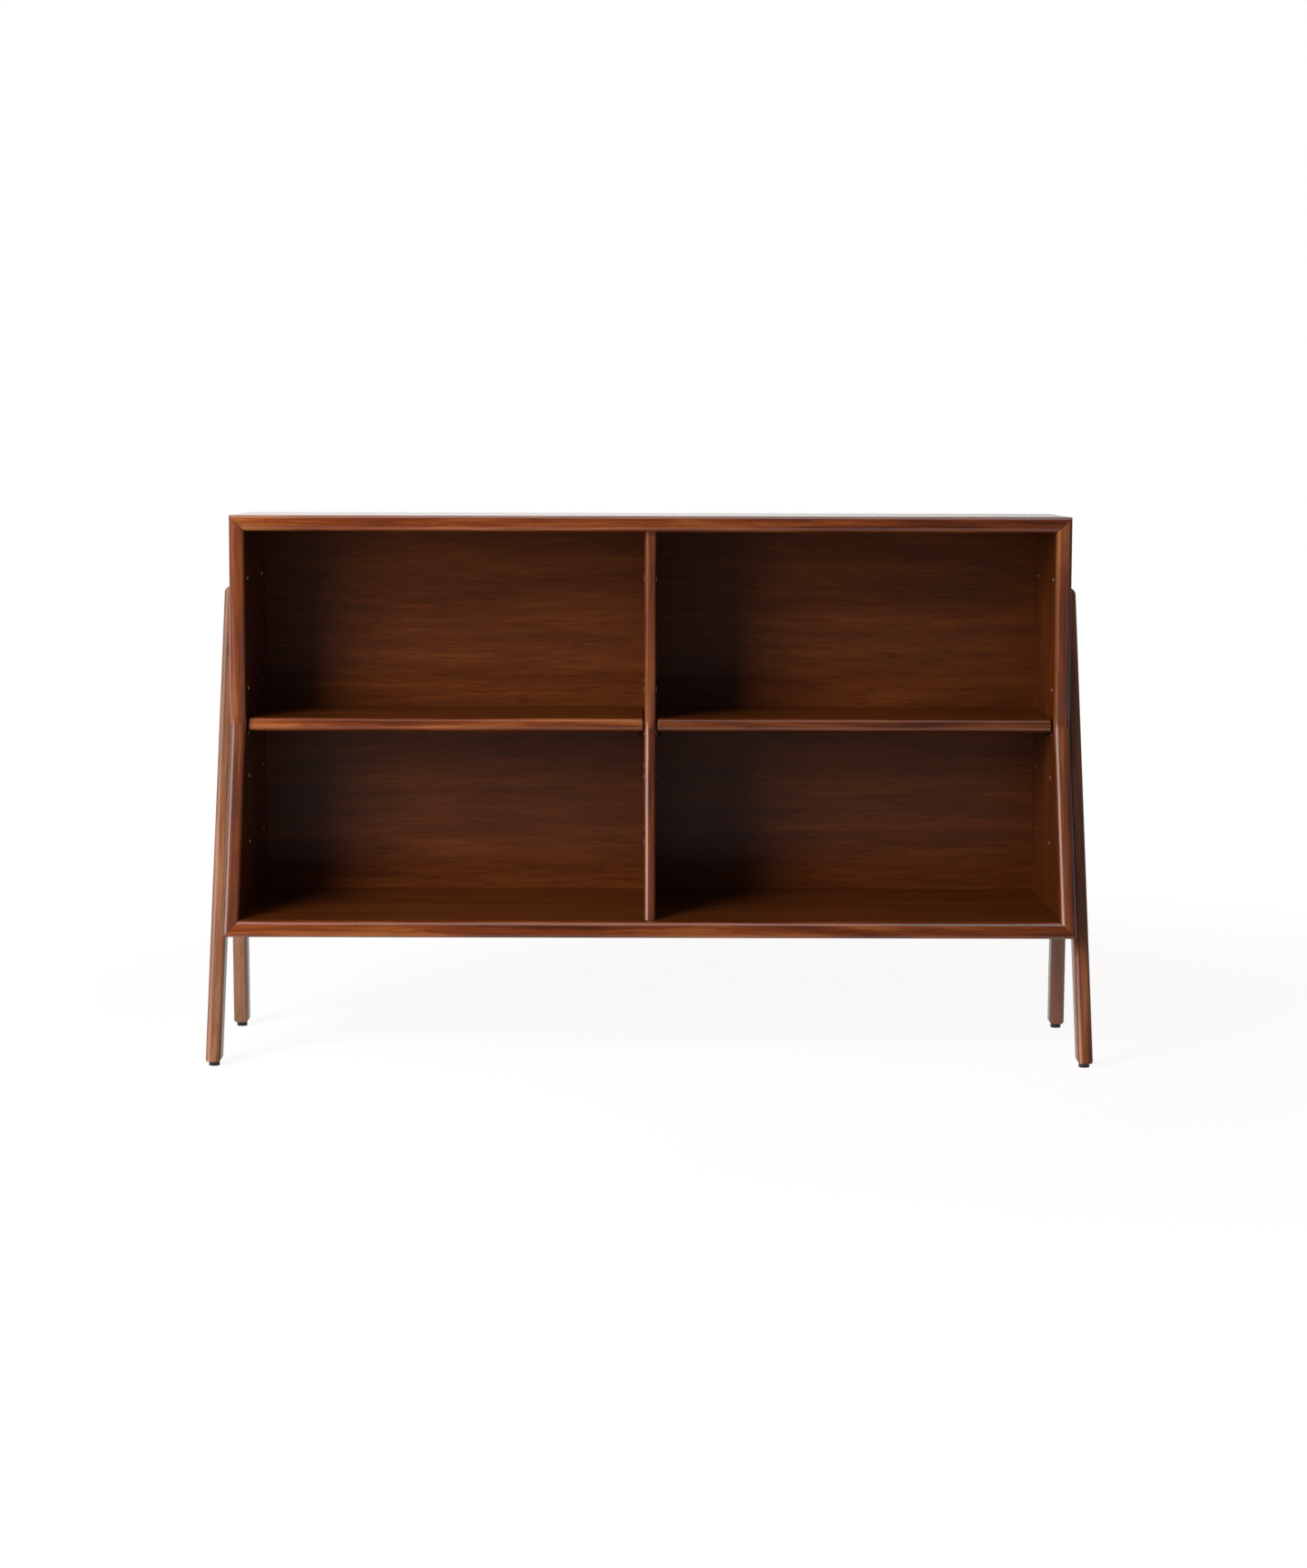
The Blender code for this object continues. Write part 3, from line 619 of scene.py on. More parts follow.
# %% Legs
LEG_THICKNESS, LEG_DEPTH, LEG_TOP, LEG_SPARE = 0.0225, 0.038, 0.691, 0.040
LEG_ROUNDING, LEG_CUTS = 0.008, 10
LEG_TOP_ROUNDING, LEG_TOP_CUTS = 0.013, 12
FOOT = 0.0083
FOOT_CHAMFER = 0.0025
FRONT_LEG_TOP_DEPTH = 0.0258
REAR_LEAN = math.radians(2.5)
LEG_MIDDLE = CASE_HALF + GAP + LEG_THICKNESS / 2
LEG_OUTER = LEG_MIDDLE + LEG_THICKNESS / 2
SPREAD = (LEG_TOP - FOOT) * (math.tan(LEAN) + math.tan(REAR_LEAN))
REAR_FOOT = FRONT + SPREAD + FRONT_LEG_TOP_DEPTH
PEG_HOLE_RADIUS, PEG_HOLE_DEPTH = 0.0028, 0.014


def leg(which, side, sign, foot, lean):
    """A leg with its front arris at a foot, leaning by an angle."""
    x = sign * LEG_MIDDLE
    half = LEG_THICKNESS / 2
    name = f"{which}_{side}_leg"
    low, high = (x - half, foot, -LEG_SPARE), (x + half, foot + LEG_DEPTH, TOP)
    piece = block(name + "_post", low, high)
    round_over(piece, LEG_ROUNDING, LEG_CUTS, lambda e: runs(e, (0, 0, 1)))
    lean_back(piece, lean, (x, foot, FOOT))
    saw(piece, (0, 0, FOOT), (0, 0, -1))
    saw(piece, (0, 0, LEG_TOP), (0, 0, 1))
    joint = Vector((0, math.cos(REAR_LEAN), math.sin(REAR_LEAN)))
    if which == "front":
        saw(piece, Vector((0, REAR_FOOT, FOOT)) - joint * GAP, joint)
    radius = LEG_TOP_ROUNDING
    start = 0 if sign > 0 else 90
    centre = sign * (LEG_OUTER - radius), LEG_TOP - radius
    round_corner(piece, *centre, radius, start, LEG_TOP_CUTS)
    for way in (-1, 1):
        saw(piece, (x + way * half, 0, FOOT + FOOT_CHAMFER), (way, 0, -1))
    low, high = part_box(f"{which}_{side}_glide")
    peg = (low + high) / 2
    peg.z = FOOT + PEG_HOLE_DEPTH / 2
    cutters = dowel_holes(side + "_leg_dowel") + dowel_holes(side + "_leg_joint_dowel")
    take_out(piece, cutters + [rod("drill", peg, (0, 0, 1), PEG_HOLE_RADIUS, PEG_HOLE_DEPTH)])
    set_in_place(piece, name, "case", name)


for side, sign in SIDES:
    leg("front", side, sign, FRONT, LEAN)
    leg("rear", side, sign, REAR_FOOT, -REAR_LEAN)

# %% [markdown]
# ## Glides, pins and sleeves
# Small turned pieces are made once and copied, each copy with its own mesh. The glide is a disc
# with a peg extruded from its top. A sleeve is a thin metal cup with a flange: the flange is the
# disc, an inset and an inward extrusion make the bore, and the cup is extruded from its back.


# %% Copies of small pieces
def copy_to(model, name, matrix):
    """A copy of a small piece with its own mesh, put in its place."""
    only(model)
    bpy.ops.object.duplicate()
    piece = bpy.context.object
    piece.name = piece.data.name = name
    piece.matrix_world = matrix
    bpy.ops.object.transform_apply()
    return piece


def facing(place, direction):
    """A matrix that puts a piece at a place with its local Z along a direction."""
    turn = Vector((0, 0, 1)).rotation_difference(Vector(direction)).to_matrix().to_4x4()
    return Matrix.Translation(place) @ turn


def ring(height):
    """A test for the edges that lie level at a height."""
    return lambda e: all(abs(v.co.z - height) < NEAR for v in e.verts)


def extrude_face(piece, up, inset, length):
    """Inset the top or bottom face, and extrude the middle along Z."""
    level = (max if up else min)(v.co.z for v in piece.data.vertices)
    with editing(piece):
        pick(piece, "FACE", lambda f: all(abs(v.co.z - level) < NEAR for v in f.verts))
        bpy.ops.mesh.inset(thickness=inset)
        bpy.ops.mesh.extrude_region_move(TRANSFORM_OT_translate={"value": (0, 0, length)})


# %% Glides
GLIDE_RADIUS, GLIDE_HEIGHT, GLIDE_EASED = 0.008, 0.008, 0.0008
GLIDE_FACETS, SMALL_CUTS = 48, 3
PEG_RADIUS, PEG_LENGTH = 0.0025, 0.014
glide = rod("glide", (0, 0, GLIDE_HEIGHT / 2), (0, 0, 1), GLIDE_RADIUS, GLIDE_HEIGHT, GLIDE_FACETS)
round_over(glide, GLIDE_EASED, SMALL_CUTS, ring(0))
extrude_face(glide, True, GLIDE_RADIUS - PEG_RADIUS, PEG_LENGTH)
for which in ("front", "rear"):
    for side, sign in SIDES:
        name = f"{which}_{side}_glide"
        low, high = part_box(name)
        place = Vector(((low.x + high.x) / 2, (low.y + high.y) / 2, 0))
        pad = copy_to(glide, name + "_pad", Matrix.Translation(place))
        set_in_place(pad, name, "case", "nylon")
bpy.data.objects.remove(glide)

# %% Shelf pins
PIN_LENGTH, PIN_EASED, PIN_FACETS = 0.0165, 0.0006, 32
PINS_PER_SHELF = 4
pin = rod("pin", (0, 0, 0), (0, 0, 1), PIN_RADIUS, PIN_LENGTH, PIN_FACETS)
half = PIN_LENGTH / 2
round_over(pin, PIN_EASED, SMALL_CUTS, lambda e: ring(half)(e) or ring(-half)(e))
for side, sign in SIDES:
    for number in range(1, PINS_PER_SHELF + 1):
        name = f"{side}_shelf_pin_{number}"
        low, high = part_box(name)
        peg = copy_to(pin, name + "_peg", facing((low + high) / 2, (1, 0, 0)))
        # The pins take a dark tone, which is painted shade.
        set_in_place(peg, name, "case", "black_nickel")
bpy.data.objects.remove(pin)

# %% Sleeves in the pin holes
FLANGE_RADIUS, FLANGE = 0.0036, 0.0004
BORE_RADIUS, BORE_DEPTH = 0.00255, 0.00755
SLEEVE_FACETS, FLANGE_CUTS, SLEEVE_GAP = 28, 2, GAP / 3
sleeve = rod("sleeve", (0, 0, FLANGE / 2), (0, 0, 1), FLANGE_RADIUS, FLANGE, SLEEVE_FACETS)
round_over(sleeve, FLANGE / 2, FLANGE_CUTS, ring(FLANGE))
extrude_face(sleeve, False, FLANGE_RADIUS - SLEEVE_RADIUS + SLEEVE_GAP, -HOLE_DEPTH + SLEEVE_GAP)
extrude_face(sleeve, True, FLANGE_RADIUS - FLANGE / 2 - BORE_RADIUS, -BORE_DEPTH - FLANGE)
faces = (
    ("left_side", -INNER_HALF, 1),
    ("divider_left", -DIVIDER / 2, -1),
    ("divider_right", DIVIDER / 2, 1),
    ("right_side", INNER_HALF, -1),
)
for label, face, outward in faces:
    for number, (y, z) in enumerate(pin_places(), start=1):
        cup = copy_to(sleeve, f"{label}_sleeve_{number}", facing((face, y, z), (outward, 0, 0)))
        polish(cup)
        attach(cup, "case")
        finish_of[cup.name] = "nickel"
bpy.data.objects.remove(sleeve)
print("sleeves:", len(faces) * len(pin_places()))

# %% [markdown]
# ## Back screws
# Six pan head screws hold the back. The head is a disc with a well rounded top edge and a cross
# recess, and the shank and its point are extruded from the underside.

# %% Back screws
HEAD_RADIUS, HEAD_HEIGHT, HEAD_FACETS = 0.003, 0.0016, 32
HEAD_ROUNDING, HEAD_CUTS = HEAD_HEIGHT * 0.7, 5
SHANK_RADIUS, SHANK_LENGTH, POINT_LENGTH = 0.0015, 0.015, 0.003
RECESS_LENGTH, RECESS_WIDTH, RECESS_DEPTH = 0.0034, 0.0008, 0.0007
SCREWS = 6
screw = rod("screw", (0, 0, HEAD_HEIGHT / 2), (0, 0, 1), HEAD_RADIUS, HEAD_HEIGHT, HEAD_FACETS)
round_over(screw, HEAD_ROUNDING, HEAD_CUTS, ring(HEAD_HEIGHT))
extrude_face(screw, False, HEAD_RADIUS - SHANK_RADIUS, -SHANK_LENGTH)
extrude_face(screw, False, SHANK_RADIUS * 0.1, 0)
with editing(screw):
    lowest = min(v.co.z for v in bmesh.from_edit_mesh(screw.data).verts)
    pick(screw, "FACE", lambda f: all(abs(v.co.z - lowest) < NEAR for v in f.verts))
    bpy.ops.mesh.extrude_region_move(TRANSFORM_OT_translate={"value": (0, 0, -POINT_LENGTH)})
    bpy.ops.mesh.merge(type="CENTER")
half, deep = RECESS_LENGTH / 2, HEAD_HEIGHT - RECESS_DEPTH
slim, above = RECESS_WIDTH / 2, 2 * HEAD_HEIGHT
slots = [block("recess", (-x, -y, deep), (x, y, above)) for x, y in ((half, slim), (slim, half))]
take_out(screw, slots)
for number in range(1, SCREWS + 1):
    name = f"back_panel_screw_{number}"
    low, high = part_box(name)
    place = ((low.x + high.x) / 2, high.y - HEAD_HEIGHT, (low.z + high.z) / 2)
    fixing = copy_to(screw, name + "_cross", facing(place, (0, 1, 0)))
    set_in_place(fixing, name, "case", "zinc")
bpy.data.objects.remove(screw)

# %% [markdown]
# ## Finishes
# Colours are written as they look on a screen, and one function turns them to the linear values
# that the shaders need. One more function adds a node: a name in small letters is the node's own
# option, any other name or a number is an input, and a socket as value makes a link.


# %% Colours and nodes
def linear(code):
    """A colour written as #rrggbb, in linear light."""
    parts = [int(code[i : i + 2], 16) / 255 for i in (1, 3, 5)]
    curved = (c / 12.92 if c <= 0.04045 else ((c + 0.055) / 1.055) ** 2.4 for c in parts)
    return (*curved, 1.0)


def add_node(tree, kind, settings):
    """Add one node with its options, values and links, and give it back."""
    node = tree.nodes.new(kind)
    for name, value in settings.items():
        if isinstance(name, str) and name.islower():
            setattr(node, name, value)
        elif isinstance(value, bpy.types.NodeSocket):
            tree.links.new(value, node.inputs[name])
        else:
            node.inputs[name].default_value = value
    return node


def new_material(name):
    """An empty material with a Principled shader, and its tree."""
    material = bpy.data.materials.new(name)
    material.use_nodes = True
    return material, material.node_tree, material.node_tree.nodes["Principled BSDF"]


# %% [markdown]
# ### Walnut
# Stained walnut under satin lacquer. Its look has five parts: broad bands of colour, growth lines
# that wander, fibre streaks, pores, which are short dark strokes, and longer dark marks. All are
# noise drawn out along the grain, so only their lengths and widths differ. Growth lines come from
# a slow noise passed through a sine, which draws its contours, the way a plain sawn board shows
# rings. The real fibres and pores are at most 0.2 mm wide, too fine to show from 5 m, so they are
# drawn 2.2 mm and 1.1 mm wide. The lacquer gives a soft gloss that the fibres break up a little.

# %% One recipe for all the walnut
ALONG_X = (0, 0, 0)
ALONG_Z = (0, math.pi / 2, 0)
RING_COUNT = 26.0
WANDER, DRIFT = (0.25, 0.05), 0.012
BAND_LENGTH = 0.30
# The length and width of each pattern, with its detail and roughness where they aren't the usual.
RINGS, FIBRES = (0.55, 0.045, 1.0), (0.070, 0.0022, 3.0, 0.6)
PORES, MARKS = (0.012, 0.0011, 1.0), (0.045, 0.006, 1.0)
GLOSS_SPREAD = 0.05
LACQUER_IOR = 1.5
RELIEF = 0.0001


def leaning(angle):
    """Grain along a piece that leans back by an angle."""
    return (angle, math.pi / 2, 0)


def drawn_out(tree, vector, length, width, detail=2.0, roughness=0.5):
    """Noise whose patches are a length along the grain and a width across it."""
    scale = (1 / length, 1 / width, 1 / width)
    stretched = add_node(tree, "ShaderNodeMapping", {"Vector": vector, "Scale": scale})
    wanted = {"Vector": stretched.outputs[0], "Scale": 1.0}
    wanted.update({"Detail": detail, "Roughness": roughness})
    return add_node(tree, "ShaderNodeTexNoise", wanted).outputs["Fac"]


def weighted(tree, value, middle_value, weight, total):
    """Add a share of a pattern's difference from its middle to a total."""
    shifted = add_node(tree, "ShaderNodeMath", {"operation": "SUBTRACT", 0: value, 1: middle_value})
    made = {"operation": "MULTIPLY_ADD", 0: shifted.outputs[0], 1: weight, 2: total}
    return add_node(tree, "ShaderNodeMath", made).outputs[0]


def walnut(name, turn, tones, roughness, weights, band=0.030, specular=0.5, painted_falloff=0.0):
    """Walnut in dark, middle and light tones, with weights for bands, rings and fibres.

    band is the width of a band of colour, and the last argument paints a falloff of the light: it
    darkens the wood towards +X, away from the softbox, and lightens it when negative.
    """
    material, tree, shader = new_material(name)
    place = add_node(tree, "ShaderNodeTexCoord", {}).outputs["Object"]
    grain = add_node(tree, "ShaderNodeMapping", {"Vector": place, "Rotation": turn}).outputs[0]
    wander = drawn_out(tree, grain, *WANDER)
    aside = add_node(tree, "ShaderNodeCombineXYZ", {"Y": wander, "Z": wander})
    wanted = {"operation": "SCALE", 0: aside.outputs[0], "Scale": DRIFT}
    drift = add_node(tree, "ShaderNodeVectorMath", wanted).outputs[0]
    wanted = {"operation": "ADD", 0: grain, 1: drift}
    wavy = add_node(tree, "ShaderNodeVectorMath", wanted).outputs[0]
    bands = drawn_out(tree, wavy, BAND_LENGTH, band)
    slow = drawn_out(tree, wavy, *RINGS)
    turns = add_node(tree, "ShaderNodeMath", {"operation": "MULTIPLY", 0: slow, 1: RING_COUNT})
    rings = add_node(tree, "ShaderNodeMath", {"operation": "SINE", 0: turns.outputs[0]}).outputs[0]
    fibres = drawn_out(tree, wavy, *FIBRES)
    pores = drawn_out(tree, wavy, *PORES)
    tone = weighted(tree, bands, 0.5, weights[0], 0.5)
    tone = weighted(tree, rings, 0.0, weights[1], tone)
    tone = weighted(tree, fibres, 0.5, weights[2], tone)
    across = add_node(tree, "ShaderNodeSeparateXYZ", {"Vector": place}).outputs["X"]
    # Painted light falloff: the tone changes along X, as the softbox's light does.
    tone = weighted(tree, across, 0.0, -painted_falloff, tone)
    ramp = add_node(tree, "ShaderNodeValToRGB", {"Fac": tone})
    ramp.color_ramp.elements[0].color = linear(tones[0])
    ramp.color_ramp.elements[1].color = linear(tones[2])
    ramp.color_ramp.elements.new(0.5).color = linear(tones[1])
    marks = drawn_out(tree, wavy, *MARKS)
    shade = 1.0
    for pattern, start, full, darkest in ((pores, 0.62, 0.72, 0.72), (marks, 0.62, 0.76, 0.70)):
        wanted = {"Value": pattern, "From Min": start, "From Max": full}
        wanted.update({"To Min": 1.0, "To Max": darkest})
        dark = add_node(tree, "ShaderNodeMapRange", wanted).outputs[0]
        wanted = {"operation": "MULTIPLY", 0: shade, 1: dark}
        shade = add_node(tree, "ShaderNodeMath", wanted).outputs[0]
    wanted = {"operation": "SCALE", 0: ramp.outputs["Color"], "Scale": shade}
    stained = add_node(tree, "ShaderNodeVectorMath", wanted)
    tree.links.new(stained.outputs[0], shader.inputs["Base Color"])
    low, high = roughness - GLOSS_SPREAD, roughness + GLOSS_SPREAD
    gloss = add_node(tree, "ShaderNodeMapRange", {"Value": fibres, "To Min": low, "To Max": high})
    tree.links.new(gloss.outputs[0], shader.inputs["Roughness"])
    relief = weighted(tree, shade, 1.0, 1.0, fibres)
    wanted = {"Height": relief, "Strength": 0.25, "Distance": RELIEF}
    bump = add_node(tree, "ShaderNodeBump", wanted)
    tree.links.new(bump.outputs[0], shader.inputs["Normal"])
    shader.inputs["IOR"].default_value = LACQUER_IOR
    shader.inputs["Specular IOR Level"].default_value = specular
    return material


# %% [markdown]
# The same tree gives very different tones: the veneer is stained deepest, the solid lippings and
# the legs are lighter. Some tones are painted light and shade: the left legs are paler, a painted
# sheen of the light from the left; the left sloped lipping and the right shelf's lipping are
# darker, painted shade; and the level lippings darken towards +X while the right ones lighten, a
# painted falloff of the softbox's light. A lean turns the grain with the piece. Each finish also
# says how strongly its lacquer reflects: least on the satin veneer, most on the polished upright
# lippings.

# %% Walnut veneer, lippings and legs
VENEER = ("#3c1c0a", "#5f2f11", "#7f4419")
BACK_VENEER = ("#3a1a0a", "#5f2e12", "#7f441a")
LIPPING_TONES = ("#4c1e0a", "#7d3814", "#ab6330")
# These darker lipping tones are painted shade, for lippings that should look less lit.
PAINTED_SHADE_LIPPING_TONES = ("#3e1a0a", "#672e12", "#874822")
# The left legs' paler, greyer tones are a painted sheen of the light from the left; the right legs
# have the wood's own tones.
LEFT_LEG_PAINTED_SHEEN_TONES = ("#5b3622", "#8a5535", "#a87352")
RIGHT_LEG_TONES = ("#5c2e17", "#96522e", "#b37343")
BROAD, NARROW = 0.030, 0.009
STREAKS = (1.5, 0.15, 0.8)
# Each kind of surface: roughness, weights, width of the bands and how strongly it reflects.
SATIN = (0.30, (0.7, 0.10, 0.7), BROAD, 0.22)
SATIN_BACK = (0.32, (0.7, 0.06, 0.9), BROAD, 0.22)
STREAKED = (0.22, STREAKS, NARROW, 0.5)
POLISHED = (0.22, STREAKS, NARROW, 1.0)
SAWN = (0.36, (0.9, 0.2, 1.0), NARROW, 0.8)
# Painted light falloff: the level lippings darken towards +X, away from the softbox, and the right
# uprights lighten towards +X.
LEVEL_PAINTED_FALLOFF, RIGHT_PAINTED_FALLOFF = 0.20, -0.10
materials = {
    "veneer_level": walnut("walnut_veneer_level", ALONG_X, VENEER, *SATIN),
    "veneer_upright": walnut("walnut_veneer_upright", ALONG_Z, VENEER, *SATIN),
    "veneer_back": walnut("walnut_back_veneer", ALONG_X, BACK_VENEER, *SATIN_BACK),
    "lipping_level": walnut("walnut_lipping_level", ALONG_X, LIPPING_TONES, *STREAKED, LEVEL_PAINTED_FALLOFF),
    # The right shelf's lipping has the darker tones: painted shade.
    "lipping_painted_shade": walnut("walnut_lipping_dark", ALONG_X, PAINTED_SHADE_LIPPING_TONES, *STREAKED),
    "lipping_upright_left": walnut("walnut_lipping_upright", ALONG_Z, LIPPING_TONES, *POLISHED),
    # The left sloped lipping takes the darker tones too: painted shade on its flat.
    "lipping_sloped_left": walnut(
        "walnut_lipping_sloped", leaning(LEAN), PAINTED_SHADE_LIPPING_TONES, *POLISHED
    ),
    # The right uprights lighten towards +X: painted light.
    "lipping_upright_right": walnut(
        "walnut_lipping_upright_right", ALONG_Z, LIPPING_TONES, *POLISHED, RIGHT_PAINTED_FALLOFF
    ),
    "lipping_sloped_right": walnut(
        "walnut_lipping_sloped_right", leaning(LEAN), LIPPING_TONES, *POLISHED, RIGHT_PAINTED_FALLOFF
    ),
}
# The left legs take the tones with the painted sheen.
for side, tones in (("left", LEFT_LEG_PAINTED_SHEEN_TONES), ("right", RIGHT_LEG_TONES)):
    for which, lean in (("front", LEAN), ("rear", -REAR_LEAN)):
        name = f"{which}_{side}_leg"
        materials[name] = walnut("walnut_" + name, leaning(lean), tones, *SAWN)
print("walnut finishes:", len(materials))

# %% [markdown]
# ### Metal, nylon and beech
# Nickel plating is smooth and a little warm, with a faint unevenness from the polishing. The shelf
# pins are the same in a dark tone, painted shade that keeps them as dark as the shade under the
# shelves. Zinc is duller and slightly mottled.
# Moulded nylon is a soft black with a fine matt texture. The hidden dowels and splines are plain
# beech with its small dark flecks.


# %% Plain finishes
def speckled(name, tones, size, roughness, metallic, distance):
    """A finish whose colour and gloss vary softly in patches of one size."""
    material, tree, shader = new_material(name)
    place = add_node(tree, "ShaderNodeTexCoord", {})
    wanted = {"Vector": place.outputs["Object"], "Scale": 1 / size, "Detail": 3.0}
    patches = add_node(tree, "ShaderNodeTexNoise", wanted).outputs["Fac"]
    ramp = add_node(tree, "ShaderNodeValToRGB", {"Fac": patches})
    ramp.color_ramp.elements[0].position = 0.3
    ramp.color_ramp.elements[1].position = 0.7
    ramp.color_ramp.elements[0].color = linear(tones[0])
    ramp.color_ramp.elements[1].color = linear(tones[1])
    tree.links.new(ramp.outputs["Color"], shader.inputs["Base Color"])
    wanted = {"Value": patches, "To Min": roughness * 0.8, "To Max": roughness * 1.2}
    gloss = add_node(tree, "ShaderNodeMapRange", wanted)
    tree.links.new(gloss.outputs[0], shader.inputs["Roughness"])
    wanted = {"Height": patches, "Strength": 0.3, "Distance": distance}
    bump = add_node(tree, "ShaderNodeBump", wanted)
    tree.links.new(bump.outputs[0], shader.inputs["Normal"])
    shader.inputs["Metallic"].default_value = metallic
    return material


# The shelf pins' dark tones are painted shade: they stand for the shade under the shelves.
NICKEL, PIN_PAINTED_SHADE_TONES = ("#cbbca4", "#dacdb8"), ("#241d19", "#2e2621")
ZINC, NYLON = ("#b4b6b8", "#cdced0"), ("#141414", "#1c1b1b")
# The four numbers of each finish: size of the patches, roughness, metal or not, relief.
for key, name, tones, *values in (
    ("nickel", "nickel_plated_steel", NICKEL, 0.0015, 0.40, 1.0, 0.00002),
    ("black_nickel", "black_nickel_plated_steel", PIN_PAINTED_SHADE_TONES, 0.0015, 0.45, 1.0, 0.00002),
    ("zinc", "zinc_plated_steel", ZINC, 0.0008, 0.38, 1.0, 0.00003),
    ("nylon", "moulded_black_nylon", NYLON, 0.0006, 0.5, 0.0, 0.00005),
):
    materials[key] = speckled(name, tones, *values)
BEECH_TONES, BEECH_FLECKS = ("#b58a5c", "#cfa878", "#dcbc90"), (0.3, 0.05, 0.6)
materials["beech"] = walnut("plain_beech", ALONG_X, BEECH_TONES, 0.6, BEECH_FLECKS)
print("finishes:", len(materials))


# %% Give every piece its finish
def wear(piece, material):
    """Give a piece one finish all over."""
    piece.data.materials.clear()
    piece.data.materials.append(material)


for name, finish in finish_of.items():
    wear(bpy.data.objects[name], materials[finish])
for name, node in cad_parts.items():
    if not node.hide_render:
        for number in range(max(len(node.material_slots), 1)):
            if not node.material_slots:
                node.data.materials.append(materials["beech"])
            node.material_slots[number].material = materials["beech"]
print("pieces with a finish:", len(finish_of))

# %% [markdown]
# ## Floor
# A sheet of white paper. For the camera and for reflections it gives off nearly white light of
# its own, so the picture's ground stays white without more lamp light, and a thin share of real
# shading on top keeps the soft shadow. Far from the bookcase it turns fully white.

# %% Floor
FLOOR_SIZE, FLOOR_MIDDLE = 8.0, (0, 1.2, 0)
FLOOR_NEAR, FLOOR_FAR = 0.9, 2.2
NEAR_GLOW, FAR_GLOW = 0.93, 1.0
GLOW_TINT = (1.0, 0.988, 0.984, 1.0)
PAPER, PAPER_SEEN = 0.75, 0.15
bpy.ops.object.select_all(action="DESELECT")
bpy.ops.mesh.primitive_plane_add(size=FLOOR_SIZE, location=FLOOR_MIDDLE)
floor = settle("floor")
floor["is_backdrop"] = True
paper, tree, shader = new_material("white_paper")
tree.nodes.remove(shader)
rays = add_node(tree, "ShaderNodeLightPath", {})
seen = rays.outputs["Is Camera Ray"]
for kind in ("Is Glossy Ray", "Is Transmission Ray"):
    wanted = {"operation": "MAXIMUM", 0: seen, 1: rays.outputs[kind]}
    seen = add_node(tree, "ShaderNodeMath", wanted).outputs[0]
place = add_node(tree, "ShaderNodeTexCoord", {})
away = add_node(tree, "ShaderNodeVectorMath", {"operation": "LENGTH", 0: place.outputs["Object"]})
wanted = {"Value": away.outputs["Value"], "From Min": FLOOR_NEAR, "From Max": FLOOR_FAR}
wanted.update({"To Min": NEAR_GLOW, "To Max": FAR_GLOW})
own_light = add_node(tree, "ShaderNodeMapRange", wanted).outputs[0]
wanted = {"operation": "MULTIPLY", 0: own_light, 1: seen}
strength = add_node(tree, "ShaderNodeMath", wanted).outputs[0]
wanted = {"Value": seen, "To Min": PAPER, "To Max": PAPER_SEEN}
shade = add_node(tree, "ShaderNodeMapRange", wanted).outputs[0]
glow = add_node(tree, "ShaderNodeEmission", {"Color": GLOW_TINT, "Strength": strength})
matt = add_node(tree, "ShaderNodeBsdfDiffuse", {"Color": shade})
both = add_node(tree, "ShaderNodeAddShader", {0: glow.outputs[0], 1: matt.outputs[0]})
tree.links.new(both.outputs[0], tree.nodes["Material Output"].inputs["Surface"])
wear(floor, paper)
print("floor:", FLOOR_SIZE, "m square")

# %% [markdown]
# ## Studio
# One large softbox stands to the left of the camera, above the bookcase. The room is plain and
# dim, and mirrored light sees three bright places in it: a white wall behind, a window up to the
# left, and a patch of ceiling. The rounded edges draw them as pale lines. Only light mirrored
# before any scattering sees them, so they don't add to the light on the object, and the camera
# sees plain white all round.

# %% World
world = bpy.data.worlds.new("studio")
bpy.context.scene.world = world
world.use_nodes = True
tree = world.node_tree
background = tree.nodes["Background"]
background.inputs["Color"].default_value = (1, 1, 1, 1)
rays = add_node(tree, "ShaderNodeLightPath", {})
look = add_node(tree, "ShaderNodeTexCoord", {}).outputs["Generated"]
DIM, ROOM = 0.12, 0.16
FIRST_MIRROR = 0.5
BEHIND, BESIDE, ABOVE = (-0.30, 0.95, 0), (-0.78, -0.42, 0.46), (0, 0, 1)
strength = ROOM
for way, start, full, level in (
    (BEHIND, 0.80, 0.95, 2.2),
    (BESIDE, 0.84, 0.94, 3.2),
    (ABOVE, 0.85, 0.97, 3.0),
):
    toward = {"operation": "DOT_PRODUCT", 0: look, 1: way}
    share = add_node(tree, "ShaderNodeVectorMath", toward).outputs["Value"]
    wanted = {"interpolation_type": "SMOOTHSTEP", "Value": share}
    wanted.update({"From Min": start, "From Max": full, "To Min": ROOM, "To Max": level})
    glow = add_node(tree, "ShaderNodeMapRange", wanted).outputs[0]
    wanted = {"operation": "MAXIMUM", 0: strength, 1: glow}
    strength = add_node(tree, "ShaderNodeMath", wanted).outputs[0]
wanted = {"operation": "LESS_THAN", 0: rays.outputs["Diffuse Depth"], 1: FIRST_MIRROR}
direct = add_node(tree, "ShaderNodeMath", wanted).outputs[0]
wanted = {"operation": "MULTIPLY", 0: rays.outputs["Is Glossy Ray"], 1: direct}
mirrored = add_node(tree, "ShaderNodeMath", wanted).outputs[0]
wanted = {"data_type": "FLOAT", 0: rays.outputs["Is Camera Ray"], 2: DIM, 3: 1.0}
plain = add_node(tree, "ShaderNodeMix", wanted).outputs[0]
wanted = {"data_type": "FLOAT", 0: mirrored, 2: plain, 3: strength}
strength = add_node(tree, "ShaderNodeMix", wanted).outputs[0]
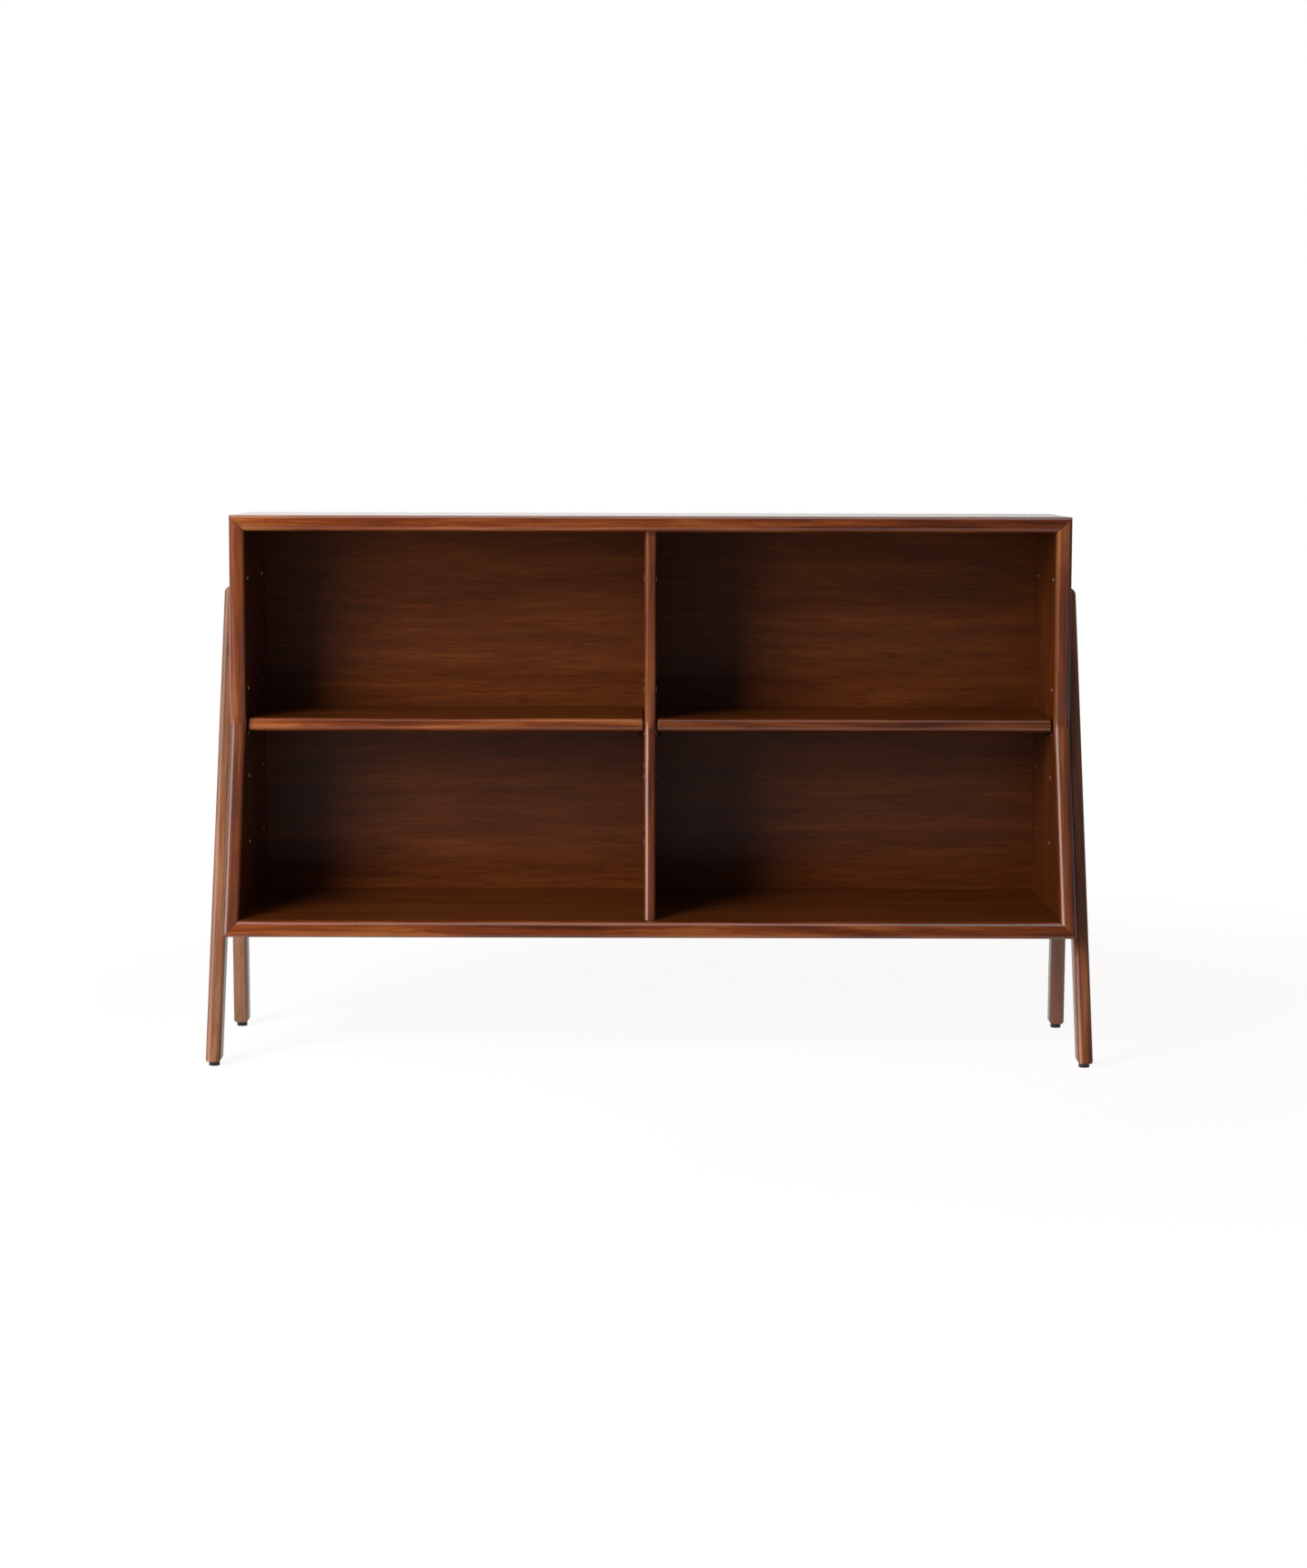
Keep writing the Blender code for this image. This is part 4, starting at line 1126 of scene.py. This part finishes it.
tree.links.new(strength, background.inputs["Strength"])
print("plain light of the room:", DIM)

# %% Softbox
SOFTBOX_PLACE = Vector((-1.95, -2.40, 1.70))
SOFTBOX_TARGET = Vector((-0.60, 0.10, 0.55))
SOFTBOX_WIDTH, SOFTBOX_HEIGHT, SOFTBOX_SPREAD, SOFTBOX_WATTS = 1.3, 2.6, 120, 51
bpy.ops.object.light_add(type="AREA", location=SOFTBOX_PLACE)
softbox = bpy.context.object
softbox.name = "softbox"
aim = SOFTBOX_TARGET - SOFTBOX_PLACE
softbox.rotation_euler = aim.to_track_quat("-Z", "Y").to_euler()
softbox.data.shape = "RECTANGLE"
softbox.data.size = SOFTBOX_WIDTH
softbox.data.size_y = SOFTBOX_HEIGHT
softbox.data.spread = math.radians(SOFTBOX_SPREAD)
softbox.data.energy = SOFTBOX_WATTS
softbox.visible_glossy = False
print("softbox:", round(aim.length, 2), "m from its target")

# %% [markdown]
# ## Camera
# The place, the lens and the turn were found by matching corners of the bookcase in the
# photograph: the camera stands almost 5 m in front, a little above the top, and looks slightly
# down. The picture is 1440 by 1728, and the lens is for a 36 mm high sensor.

# %% Camera
PICTURE_HEIGHT = 1728
FOCAL_PIXELS = 3560.61
PITCH_DOWN, YAW, ROLL = 0.10231, 0.00334, 0.00286
SENSOR = 36
CAMERA_PLACE = Vector((-0.01082, -4.85181, 0.89409))
bpy.ops.object.camera_add()
camera = bpy.context.object
camera.name = "camera"
camera.matrix_world = (
    Matrix.Translation(CAMERA_PLACE)
    @ Matrix.Rotation(-YAW, 4, "Z")
    @ Matrix.Rotation(math.pi / 2 - PITCH_DOWN, 4, "X")
    @ Matrix.Rotation(ROLL, 4, "Z")
)
camera.data.sensor_width = SENSOR
camera.data.lens = SENSOR * FOCAL_PIXELS / PICTURE_HEIGHT
bpy.context.scene.camera = camera
bpy.context.scene.view_settings.view_transform = "Standard"
print("lens:", round(camera.data.lens, 2), "mm")

# %% Write the sizes, and finish
low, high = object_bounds()
print("visual box:", tuple(low), tuple(high))
